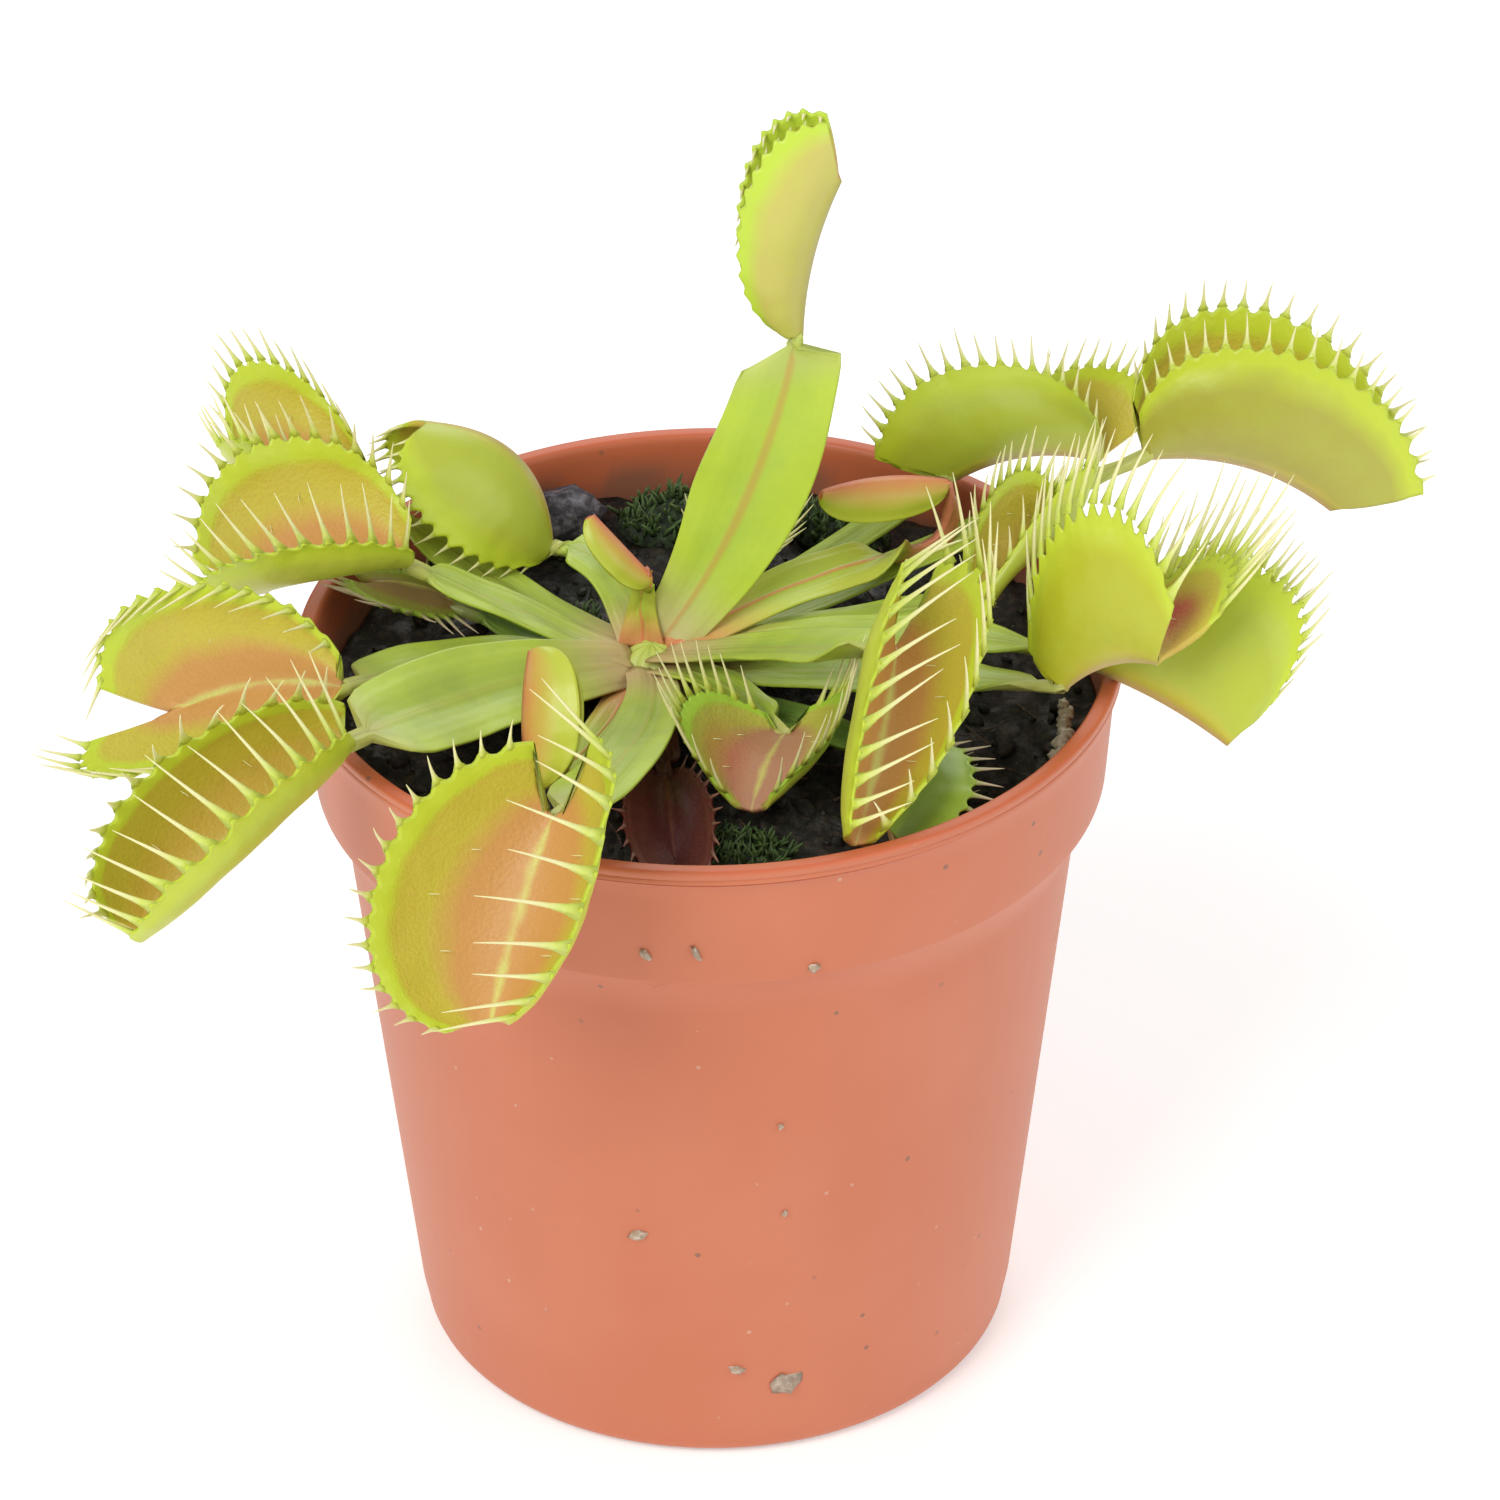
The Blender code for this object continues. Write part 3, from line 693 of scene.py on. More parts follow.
@dataclass
class Pot:
    """The moulded pot: a lip, a deep band, a shoulder, a tapered body and drain holes."""

    height: float = 81.7
    rim_radius: float = 42.5
    lip_height: float = 1.8
    lip_width: float = 1.6
    band_top_radius: float = 42.0
    band_foot_radius: float = 40.9
    band_height: float = 14.6
    band_step: float = 0.7
    shoulder_radius: float = 37.9
    shoulder_height: float = 6.2
    shoulder_curve: float = 1.6
    foot_radius: float = 31.3
    corner: float = 2.0
    wall: float = 1.2
    floor: float = 1.6
    steps: int = 192
    drain_count: int = 6
    drain_radius: float = 3.0
    drain_circle: float = 21.0
    edge: float = 0.4

    below = 0.01
    inside_shade = 0.7
    shore_rise = 1.2
    shore_wander = 2.0
    shore_fade = 1.5

    @property
    def lip_foot(self) -> float:
        """Height of the lip's lower edge."""
        return self.height - self.lip_height

    @property
    def band_foot(self) -> float:
        """Height of the band's lower edge."""
        return self.height - self.band_height

    @property
    def shoulder_foot(self) -> float:
        """Height where the shoulder runs into the tapered body."""
        return self.band_foot - self.shoulder_height

    def radius(self, height: float) -> float:
        """Outer radius of the wall at a height."""
        if height >= self.band_foot:
            part = (height - self.band_foot) / self.band_height
            return self.band_foot_radius + part * (self.band_top_radius - self.band_foot_radius)
        if height >= self.shoulder_foot:
            part = ((height - self.shoulder_foot) / self.shoulder_height) ** self.shoulder_curve
            top = self.band_foot_radius - self.band_step
            return self.shoulder_radius + part * (top - self.shoulder_radius)
        part = height / self.shoulder_foot
        return self.foot_radius + part * (self.shoulder_radius - self.foot_radius)

    def bore(self, height: float) -> float:
        """Inner radius of the wall, measured just below a height so that it stays under a step."""
        return self.radius(height - self.below) - self.wall

    def rows(self, start: float, end: float, count: int, inset: float = 0.0,
             below: float = below) -> list[tuple[float, float]]:
        """Even steps along the wall.

        Args:
            start: the height that they leave from, which isn't one of them.
            end: the height of the last.
            count: how many there are.
            inset: how far inside the outer skin they lie.
            below: how far under each height its radius is measured, to stay under a step.

        Returns:
            Radius and height of each.
        """
        heights = [start + (end - start) * row / count for row in range(1, count + 1)]
        return [(self.radius(height - below) - inset, height) for height in heights]

    @staticmethod
    def corner_arc(centre: tuple[float, float], size: float, first: float, last: float,
                   steps: int) -> list[tuple[float, float]]:
        """Points round a rounded corner.

        Args:
            centre: radius and height of the round's middle.
            size: its radius.
            first: the angle that it starts at, in degrees above the level.
            last: the angle that it ends at.
            steps: how many stretches it has.

        Returns:
            Radius and height of each point.
        """
        angles = [math.radians(first + (last - first) * step / steps)
                  for step in range(steps + 1)]
        return [(centre[0] + size * math.cos(angle), centre[1] + size * math.sin(angle))
                for angle in angles]

    def outside(self) -> list[tuple[float, float]]:
        """Profile from the base's middle, up the outside, to the lip's outer edge."""
        corner, ease = self.corner, 0.4
        points = [(0.0, 0.0), (self.foot_radius * 0.5, 0.0)]
        points += self.corner_arc((self.foot_radius - corner, corner), corner, -90, 0, 6)
        points += self.rows(corner, self.shoulder_foot, 24)
        points += self.rows(self.shoulder_foot, self.band_foot, 8)
        edge, foot = self.band_foot_radius, self.band_foot
        points += [(edge - 0.25, foot - 0.02), (edge - 0.06, foot + 0.12),
                   (edge + 0.02, foot + ease)]
        points += self.rows(foot + ease, self.lip_foot - ease, 6, below=0.0)
        top, rim, lip = self.band_top_radius, self.rim_radius, self.lip_foot
        points += [(top, lip - 0.12), (top - 0.12, lip), (top + 0.1, lip + 0.16),
                   (rim - 0.02, lip + 0.32), (rim, lip + 0.7), (rim - 0.1, lip + 0.82),
                   (rim, lip + 0.94), (rim, self.height - 0.5)]
        return points

    def inside(self) -> list[tuple[float, float]]:
        """Profile from the lip's outer edge over the top and down the inside."""
        edge, top = self.edge, self.height
        points = self.corner_arc((self.rim_radius - edge, top - edge), edge, 0, 90, 4)
        inner = self.rim_radius - self.lip_width
        points += [(inner + 0.25, top), (inner + 0.05, top - 0.08), (inner - 0.15, top - 0.3),
                   (inner - 0.3, top - 0.8), (inner - edge, self.lip_foot)]
        points += self.rows(self.lip_foot, self.band_foot, 5, self.wall)
        points += self.rows(self.band_foot, self.shoulder_foot, 4, self.wall)
        points += self.rows(self.shoulder_foot, self.floor + self.corner, 5, self.wall, 0.0)
        points += [(self.radius(self.floor) - self.wall - self.corner, self.floor),
                   (0.0, self.floor)]
        return points

    def drain_cutter(self, number: int) -> bpy.types.Object:
        """A peg that cuts one drain hole, kept as a hidden guide."""
        builder = bmesh.new()
        bmesh.ops.create_cone(builder, cap_ends=True, segments=24, radius1=self.drain_radius,
                              radius2=self.drain_radius, depth=4 * self.floor)
        angle = math.tau * (number + 0.5) / self.drain_count
        bmesh.ops.translate(builder, verts=builder.verts, vec=(
            self.drain_circle * math.cos(angle), self.drain_circle * math.sin(angle), 0.0))
        cutter = place_mesh(f"drain_cutter_{number + 1}", builder)
        cutter.hide_render = True
        cutter.display_type = "WIRE"
        return cutter

    def build(self, finish: PlasticFinish) -> bpy.types.Object:
        """Turn the pot, mark its lip and the painted shade on its inside wall, and cut its drain
        holes.

        Args:
            finish: the plastic.

        Returns:
            The pot.
        """
        builder = turned(self.outside() + self.inside(), self.steps)
        lip = builder.verts.layers.float.new("lip")
        wet = builder.verts.layers.float.new("wet")
        for vert in builder.verts:
            radius = math.hypot(vert.co.x, vert.co.y)
            vert[lip] = smooth(self.height - 0.35, self.height - 0.1, vert.co.z)
            # Painted shade: inside the wall the lip mask is raised so the inside takes the lip
            # colour.
            if radius < self.radius(vert.co.z) - self.wall * 0.6:
                vert[lip] = max(vert[lip], self.inside_shade)
                wander = noise.noise(vert.co * 0.3) * self.shore_wander
                shore = ground(vert.co.x, vert.co.y) + self.shore_rise + wander
                vert[wet] = smooth(shore + self.shore_fade, shore, vert.co.z)
        pot = finish_piece("nursery_pot", builder, (finish.material(),), ("pot",))
        pot.data.set_sharp_from_angle(angle=math.radians(50))
        for number in range(self.drain_count):
            cut = pot.modifiers.new(f"drain {number + 1}", "BOOLEAN")
            cut.operation = "DIFFERENCE"
            cut.solver = "EXACT"
            cut.object = self.drain_cutter(number)
        return pot

    def wall_point(self, azimuth: float, height: float) -> tuple[Vector, Vector]:
        """A point on the outside and the way out from it.

        Args:
            azimuth: in degrees, 0 at the front and growing to the right.
            height: above the base.

        Returns:
            The point and the outward direction.
        """
        angle = math.radians(azimuth - 90)
        out = Vector((math.cos(angle), math.sin(angle), 0.0))
        return out * self.radius(height) + upwards(height), out

    def crumbs(self, marks: tuple, finish: EarthFinish) -> bpy.types.Object:
        """Specks of grit and dried peat that stick to the outside.

        Args:
            marks: azimuth, height, half width and half height of each.
            finish: what they are made of.

        Returns:
            The specks, as one piece.
        """
        builder = bmesh.new()
        for number, (azimuth, height, wide, tall) in enumerate(marks):
            point, out = self.wall_point(azimuth, height)
            turn = Euler((0.0, 0.3 * number, math.radians(azimuth)))
            lump(builder, point + out * 0.1, Vector((wide, 0.35, tall)), turn, rough=0.8,
                 detail=2, seed=number * 2.3)
        return finish_piece("pot_crumbs", builder, (finish.material(),))


# ---------------------------------------------------------------- peat, moss, bark and grit


@dataclass
class PeatBed:
    """The plug of wet peat, with an uneven top, loose crumbs and a few fibres."""

    pot: Pot
    gap: float = 0.25
    rings: int = 60
    steps: int = 200
    crumb_count: int = 420
    fibre_count: int = 70
    swell_height: float = 1.5
    crumb_height: float = 0.9
    settled: float = 0.3

    def surface(self, x: float, y: float) -> float:
        """Height of the peat's own surface, with its hollows and crumbs."""
        place = Vector((x, y, 0.0))
        swell = noise.noise(place * 0.09 + Vector((3.0, 1.0, 0.0))) * self.swell_height
        fine = noise.fractal(place * 0.45, 0.8, 2.1, 4) * self.crumb_height
        return ground(x, y) + swell + fine - self.settled

    def build(self, finish: EarthFinish) -> bpy.types.Object:
        """Make the plug.

        Args:
            finish: the peat.

        Returns:
            The plug.
        """
        pot = self.pot
        top = pot.radius(SOIL_LEVEL) - pot.wall - self.gap
        points = [(top * ring / self.rings, SOIL_LEVEL) for ring in range(self.rings + 1)]
        for height in (pot.band_foot + 1, pot.band_foot, pot.band_foot - 2, pot.band_foot - 4,
                       pot.shoulder_foot, pot.floor + pot.corner):
            points.append((pot.bore(height) - self.gap, height))
        foot = pot.radius(pot.floor) - pot.wall - pot.corner - self.gap
        points += [(foot, pot.floor + self.gap), (0.0, pot.floor + self.gap)]
        builder = turned(points, self.steps)
        for vert in builder.verts:
            if vert.co.z > SOIL_LEVEL - pot.below:
                vert.co.z = self.surface(vert.co.x, vert.co.y)
        return finish_piece("peat_bed", builder, (finish.material(),), ("soil",))

    def scatter(self, draw: random.Random, reach: float) -> Vector:
        """A random place on the surface.

        Args:
            draw: the source of random numbers.
            reach: how near the pot's wall it may be, by the inner radius.

        Returns:
            The place.
        """
        radius = (self.pot.radius(SOIL_LEVEL) - self.pot.wall) * reach * math.sqrt(draw.random())
        angle = draw.uniform(0, math.tau)
        x, y = radius * math.cos(angle), radius * math.sin(angle)
        return Vector((x, y, self.surface(x, y)))

    def crumbs(self, finish: EarthFinish) -> bpy.types.Object:
        """Loose crumbs of peat on the top.

        Args:
            finish: the peat.

        Returns:
            The crumbs, as one piece.
        """
        draw = random.Random(11)
        builder = bmesh.new()
        for number in range(self.crumb_count):
            size = 0.35 + 1.1 * draw.random() ** 2.5
            radii = Vector((size * draw.uniform(0.7, 1.5), size, size * draw.uniform(0.5, 0.9)))
            turn = Euler((draw.uniform(-1, 1), draw.uniform(-1, 1), draw.uniform(0, math.tau)))
            place = self.scatter(draw, reach=0.955) + upwards(size * 0.2)
            lump(builder, place, radii, turn, rough=0.7, detail=1, seed=number * 1.3)
        return finish_piece("peat_crumbs", builder, (finish.material(),))

    def fibres(self, finish: EarthFinish) -> bpy.types.Object:
        """Fine root and sedge fibres that lie on the peat.

        Args:
            finish: the fibre.

        Returns:
            The fibres, as one piece.
        """
        draw = random.Random(23)
        rod = Spike(4, 5)
        builder = bmesh.new()
        builder.verts.layers.float.new("reach")
        for _ in range(self.fibre_count):
            place = self.scatter(draw, reach=0.80) + upwards(0.35)
            angle = draw.uniform(0, math.tau)
            way = Vector((math.cos(angle), math.sin(angle), draw.uniform(-0.05, 0.25)))
            bend = Vector((-math.sin(angle), math.cos(angle), 0.0)) * draw.uniform(-0.5, 0.5)
            rod.plant(builder, place, way.normalized(), bend, length=draw.uniform(1.5, 6.5),
                      radius=draw.uniform(0.08, 0.2), tip=0.5)
        return finish_piece("peat_fibres", builder, (finish.material(),))


@dataclass
class MossPatch:
    """A low cushion of moss with many fine shoots."""

    name: str
    x: float
    y: float
    reach_x: float
    reach_y: float
    rise: float
    turn: float = 0.0
    shoots: int = 190
    sunk: float = 0.6

    def spot(self, across: float, along: float) -> Vector:
        """A point on the cushion.

        Args:
            across: from -1 to 1 over its width.
            along: from -1 to 1 over its depth.

        Returns:
            The point.
        """
        swing = math.radians(self.turn)
        wide, deep = across * self.reach_x, along * self.reach_y
        x = self.x + wide * math.cos(swing) - deep * math.sin(swing)
        y = self.y + wide * math.sin(swing) + deep * math.cos(swing)
        dome = math.sqrt(max(0.0, 1 - across * across - along * along))
        ripple = 1 + 0.4 * noise.noise(Vector((x, y, 0.0)) * 0.7)
        return Vector((x, y, ground(x, y) + self.rise * dome * ripple * 0.75))

    def build(self, earth: EarthFinish, shoots: ShootFinish) -> None:
        """Make the cushion and its shoots.

        Args:
            earth: the cushion's finish.
            shoots: the shoots' finish.
        """
        cushion = bmesh.new()
        made = bmesh.ops.create_uvsphere(cushion, u_segments=48, v_segments=24, radius=1.0)
        for vert in made["verts"]:
            top = self.spot(vert.co.x, vert.co.y)
            if vert.co.z < 0:
                top.z = ground(top.x, top.y) - self.sunk + 0.4 * (vert.co.z + 1)
            vert.co = top + upwards(noise.noise(top * 1.6) * 0.35 * max(0.0, vert.co.z))
        finish_piece(self.name + "_cushion", cushion, (earth.material(),), (self.name,))
        rod = Spike(4, 3)
        draw = random.Random(self.name)
        builder = bmesh.new()
        builder.verts.layers.float.new("reach")
        for _ in range(self.shoots):
            radius, angle = math.sqrt(draw.random()) * 0.97, draw.uniform(0, math.tau)
            root = self.spot(radius * math.cos(angle), radius * math.sin(angle))
            way = Vector((draw.gauss(0, 0.45), draw.gauss(0, 0.45), 1.0)).normalized()
            bend = Vector((draw.gauss(0, 0.25), draw.gauss(0, 0.25), 0.0))
            rod.plant(builder, root - upwards(0.3), way, bend, length=draw.uniform(0.9, 2.1),
                      radius=draw.uniform(0.22, 0.42), tip=0.25)
        finish_piece(self.name + "_shoots", builder, (shoots.material(),))


MOSS_PATCHES = (
    MossPatch("moss_back", x=-3.5, y=33, reach_x=6.5, reach_y=4.5, rise=3.6),
    MossPatch("moss_back_right", x=14, y=31, reach_x=5.5, reach_y=3.6, rise=3.0, turn=-20),
    MossPatch("moss_left", x=-14, y=14.5, reach_x=3.0, reach_y=2.2, rise=1.4, shoots=60),
    MossPatch("moss_front", x=3, y=-24.5, reach_x=5.5, reach_y=3.0, rise=1.4),
)


def build_bark(finish: EarthFinish) -> bpy.types.Object:
    """The dark rough chip at the back, with broken facets.

    Args:
        finish: the bark.

    Returns:
        The chip.
    """
    builder = bmesh.new()
    bmesh.ops.create_icosphere(builder, subdivisions=5, radius=1.0)
    facets = (((0.3, -0.6, 0.8), 0.72), ((-0.7, -0.4, 0.5), 0.76), ((0.8, 0.1, 0.4), 0.8),
              ((0.1, 0.5, 0.8), 0.7), ((0.1, -0.9, 0.2), 0.8))
    flatness = 0.85
    for way, reach in facets:
        normal = Vector(way).normalized()
        for vert in builder.verts:
            beyond = vert.co.dot(normal) - reach
            if beyond > 0:
                vert.co -= normal * beyond * flatness
    centre, half = middle_of(*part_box("bark_chip"))
    radii = Vector((5.6, 4.1, half.z + 0.4))
    swing = Matrix.Rotation(math.radians(30), 3, "Z")
    for vert in builder.verts:
        crag = 1 + 0.10 * noise.fractal(vert.co * 2.4, 0.9, 2.2, 4)
        spread = Vector(a * b for a, b in zip(vert.co, radii))
        vert.co = centre + swing @ spread * crag
    return finish_piece("bark_chunk", builder, (finish.material(),), ("bark_chip",))


def build_grit(finish: EarthFinish) -> bpy.types.Object:
    """The pale knobbly grain by the wall at the right: a short chain of knobs.

    Args:
        finish: the grain.

    Returns:
        The grain.
    """
    centre = middle_of(*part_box("perlite_grain"))[0]
    builder = bmesh.new()
    # Place from the grain's middle, and half width, of each knob.
    knobs = ((-0.3, -2.4, -0.2, 1.05), (0.5, -1.5, 0.2, 0.85), (-0.1, -0.6, 0.4, 0.95),
             (0.4, 0.3, 0.9, 0.9), (0.2, 1.2, 1.5, 0.8), (0.5, 1.9, 2.3, 0.75),
             (0.2, 2.5, 3.0, 0.6))
    for number, (*place, size) in enumerate(knobs):
        turn = Euler((0.4 * number, 0.7, 1.1 * number))
        lump(builder, centre + Vector(place), Vector((size, size * 0.85, size)), turn,
             rough=0.55, detail=3, seed=number * 3.7)
    return finish_piece("grit_grain", builder, (finish.material(),),
                        ("perlite_grain",))


# ---------------------------------------------------------------- leaves


def leaf_layers(builder: bmesh.types.BMesh) -> dict[str, bmesh.types.BMLayerItem]:
    """Give a bmesh the numbers that a leaf's skin is coloured by.

    Args:
        builder: the bmesh.

    Returns:
        The layers, by name: how far out from the rib, how far along the blade, whether it is the
        trap, and how strong the red patch is.
    """
    return {name: builder.verts.layers.float.new(name)
            for name in ("across", "along", "lobe", "patch")}


def bow(start: Vector, knee: Vector, end: Vector, share: float) -> tuple[Vector, Vector]:
    """A place on a quadratic curve.

    Args:
        start: where the curve starts.
        knee: its control point.
        end: where it ends.
        share: how far along it, from 0 to 1.

    Returns:
        The point and the direction of travel.
    """
    rest = 1 - share
    point = start * rest * rest + knee * 2 * share * rest + end * share * share
    travel = (knee - start) * 2 * rest + (end - knee) * 2 * share
    return point, travel.normalized()


@dataclass
class Leaf:
    """One leaf: a winged blade that ends in a hinged trap with a fringe of teeth.

    Teeth, tooth, lean and patch give one number for lobe_a and one for lobe_b.

    Attributes:
        name: the solid that the leaf stands for.
        azimuth: the way that it leaves the crown, in degrees from +X.
        tier: its ring round the crown, from 0 for the outermost.
        middle: where the blade's midrib is halfway along.
        heel: the near end of the trap's hinge.
        tip: the far end of the hinge.
        lobe_a: the top of one lobe's margin.
        lobe_b: the top of the other's.
        width: the blade's greatest width.
        overhang: how far a lobe runs back past the heel and on past the tip, by the hinge's
            length.
        arch: how far the hinge bows towards the opening, by its length.
        bulge: how deeply a lobe is cupped, by its height.
        face: the way that the blade's top looks.
        teeth: how many teeth there are.
        tooth: their length, or 0 for none.
        lean: how far they lean over the opening, in degrees.
        style: the leaf's colouring.
        patch: how red the patch inside the lobe is, from 0 to 1.
        shoulder: how squarely the blade ends, with 2 for an ellipse.
        twist_from: where along the blade it starts to turn towards the trap.
        root_width: the blade's width at the crown.
        swell: how slowly the blade widens.
        skew: how far its two halves slip past each other.
        overhang_b: lobe_b's overhang, where it isn't lobe_a's.
        neck: where the blade ends, if a stalk curls on from it to the heel.
        neck_length: length of the thin neck.
        droop: how far the blade's edges hang.
        narrowing: how much width the outer half of the blade loses.
    """

    name: str
    azimuth: float
    tier: int
    middle: Point
    heel: Point
    tip: Point
    lobe_a: Point
    lobe_b: Point
    width: float
    overhang: tuple[float, float] = (0.12, 0.35)
    arch: float = 0.1
    bulge: float = 0.22
    face: Point = (0, 0, 1)
    teeth: tuple[int, int] = (16, 16)
    tooth: tuple[float, float] = (4.0, 4.0)
    lean: tuple[float, float] = (20.0, 20.0)
    style: LeafStyle = LeafStyle.LIME
    patch: tuple[float, float] = (0.0, 0.0)
    shoulder: float = 3.0
    twist_from: float = 0.7
    root_width: float = 5.0
    swell: float = 1.2
    skew: float = 0.0
    overhang_b: tuple[float, ...] = ()
    neck: tuple[float, ...] = ()
    neck_length: float = 2.6
    droop: float = 0.1
    narrowing: float = 0.0

    tier_rise = (6.0, 32.0, 58.0)
    base_reach = CROWN_RADIUS - 3.0
    solid_reach = CROWN_RADIUS + 0.7

    half_columns = 13
    blade_rows = 30
    neck_rows = 6
    trap_rows = 100
    column_crowding = 1.25

    # The sheet's greatest thickness and, by that, its thickness at the edge, what the body and
    # the rib add, and how far out the rib reaches.
    thickness = 1.4
    lobe_girth = (0.24, 0.26, 0.3, 0.10)
    blade_girth = (0.22, 0.33, 0.25, 0.25)
    neck_girth = 0.85

    # The blade: shares of its length, and heights of its unevenness.
    widest_at = 0.8
    narrow_from = 0.5
    shoulder_from = 0.86
    neck_width = 1.7
    fold = math.radians(12.0)
    keel_round = 0.006
    keel_depth = 0.077
    wave_scale = 0.14
    wave_height = 0.5
    roll_scales = (5.0, 1.5)
    roll_height = 0.3
    calm_reach = 0.15
    droop_reach = (0.6, 0.9)
    slant_reach = (0.3, 0.8)
    hook_swing = 0.75

    # The trap: the rim's flare and crease are by the lobe's height.
    lobe_sweep = math.radians(80)
    roundness = 0.75
    cup_fade = 0.35
    band = 0.84
    rim_flare = 0.035
    rim_crease = 0.012
    crease_width = 0.03
    ripple_scales = ((0.16, 0.9), (0.5, 0.25))
    ripple_height = 0.6
    spot_place = 0.58
    spot_reach = 0.30

    # The teeth and trigger hairs.
    first_tooth = 0.05
    last_tooth = 0.97
    signs = (-1, 1)
    bay_from = 0.80
    bay_curve = 1.3
    bay_depth = 0.045
    bay_by_tooth = 0.007
    web_reach = 0.20
    tooth_root = 0.6
    tooth_radius = 0.21
    radius_by_tooth = 0.009
    short_tooth = 0.45
    heel_phase = 0.12
    phase_span = 0.80
    growth_curve = 0.6
    hair_places = ((0.32, 0.42), (0.5, 0.55), (0.68, 0.42))
    hair_length = 1.6
    hair_share = 0.12
    hair_radius = 0.09

    def __post_init__(self) -> None:
        """Work out the trap's own axes and the blade's curve."""
        self.start = self.crown_point()
        self.heel_point, self.tip_point = Vector(self.heel), Vector(self.tip)
        middle = Vector(self.middle)
        self.end = Vector(self.neck or self.heel)
        self.knee = middle * 2 - (self.outer_crown_point() + self.end) / 2
        blade_length = (middle - self.start).length + (self.end - middle).length
        self.neck_start = 1 - self.neck_length / blade_length
        hinge = self.tip_point - self.heel_point
        self.length = hinge.length
        self.axis = hinge / self.length
        self.centre = (self.heel_point + self.tip_point) / 2
        arms = [Vector(self.lobe_a) - self.centre, Vector(self.lobe_b) - self.centre]
        self.overhangs = [self.overhang, self.overhang_b or self.overhang]
        self.opens = square_to(arms[0].normalized() + arms[1].normalized(), self.axis)
        self.lateral = self.axis.cross(self.opens)
        if (arms[1] - arms[0]).dot(self.lateral) < 0:
            arms.reverse()
            self.overhangs.reverse()
            self.teeth, self.tooth = self.teeth[::-1], self.tooth[::-1]
            self.lean, self.patch = self.lean[::-1], self.patch[::-1]
        self.leans = [arm.dot(self.axis) for arm in arms]
        self.lobes = [arm - self.axis * lean for arm, lean in zip(arms, self.leans)]
        self.backs = [self.back_of(lobe) for lobe in self.lobes]
        self.twist = self.neck_twist()
        self.seed = Vector((self.azimuth * 0.37, self.width * 1.9, self.length * 0.7))

    def crown_direction(self) -> Vector:
        """The way that the leaf's base points out of the crown."""
        azimuth = math.radians(self.azimuth)
        rise = math.radians(self.tier_rise[self.tier])
        flat = math.cos(rise)
        return Vector((math.cos(azimuth) * flat, math.sin(azimuth) * flat, math.sin(rise)))

    def crown_point(self) -> Vector:
        """Where the blade starts, inside the crown's skin."""
        return CROWN + self.crown_direction() * self.base_reach

    def outer_crown_point(self) -> Vector:
        """Where the solid's blade starts, which sets its curve."""
        return CROWN + self.crown_direction() * self.solid_reach

    def back_of(self, lobe: Vector) -> Vector:
        """The way out of a lobe's back, away from the trap's opening."""
        back = self.axis.cross(lobe).normalized()
        return -back if back.dot(self.opens) > 0 else back

    def curve(self, share: float) -> tuple[Vector, Vector]:
        """The blade's midrib.

        Args:
            share: from 0 at the crown to 1 at the trap.

        Returns:
            The point and the direction of travel.
        """
        if self.neck and share > self.neck_start:
            return self.hook((share - self.neck_start) / (1 - self.neck_start))
        return bow(self.start, self.knee, self.end, share)

    def hook(self, share: float) -> tuple[Vector, Vector]:
        """The thin stalk that curls back from the blade's end to the trap.

        Args:
            share: from 0 at the blade's end to 1 at the trap.

        Returns:
            The point and the direction of travel.
        """
        end, travel = bow(self.start, self.knee, self.end, self.neck_start)
        reach = (self.heel_point - end).length * self.hook_swing
        return bow(end, end + travel * reach, self.heel_point, share)

    def neck_twist(self) -> float:
        """The angle that the neck turns through, so that the blade's top leads into the trap."""
        travel = self.curve(1.0)[1]
        side = travel.cross(square_to(Vector(self.face), travel))
        goal = square_to(self.lateral, travel)
        return math.atan2(side.cross(goal).dot(travel), side.dot(goal))

    def blade_width(self, share: float) -> float:
        """Width of the winged blade: narrow at the foot, wide, then cut off at the neck."""
        swell = math.sin(min(1.0, share / self.widest_at) * math.pi / 2) ** self.swell
        past = max(0.0, share - self.shoulder_from) / (1 - self.shoulder_from)
        taper = max(0.0, 1 - past ** self.shoulder) ** (1 / self.shoulder)
        body = self.root_width + (self.width - self.root_width) * swell
        body *= 1 - self.narrowing * smooth(self.narrow_from, 1.0, share)
        return max(self.neck_width, body * taper)

    def blade_point(self, share: float, out: float) -> Vector:
        """A point on the blade.

        Args:
            share: from 0 at the crown to 1 at the trap.
            out: from -1 at one edge to 1 at the other.

        Returns:
            The point.
        """
        point, travel = self.curve(share)
        up = square_to(Vector(self.face), travel)
        swing = Matrix.Rotation(self.twist * smooth(self.twist_from, 1.0, share), 3, travel)
        side, up = swing @ travel.cross(up), swing @ up
        half = self.blade_width(min(1.0, share / self.neck_start)) / 2
        keel = math.sqrt(out * out + self.keel_round) - self.keel_depth
        rise = keel * half * math.sin(self.fold)
        wave = noise.noise(point * self.wave_scale + self.seed) * self.wave_height * out * out
        droop = -self.droop * half * out * out * smooth(*self.droop_reach, share)
        along, across = self.roll_scales
        rolled = noise.noise(Vector((share * along, out * across, self.azimuth)))
        roll = rolled * self.roll_height
        calm = smooth(self.neck_start, self.neck_start - self.calm_reach, share)
        slant = self.skew * out * half * smooth(*self.slant_reach, share)
        return (point + travel * slant + side * out * half * math.cos(self.fold)
                + up * (rise + (wave + droop + roll) * calm))

    def hinge_point(self, share: float) -> Vector:
        """A point on the trap's hinge, which bows towards or away from the opening."""
        place = 2 * share - 1
        bowed = self.opens * self.arch * self.length * (1 - place * place)
        return self.heel_point + self.axis * self.length * share + bowed

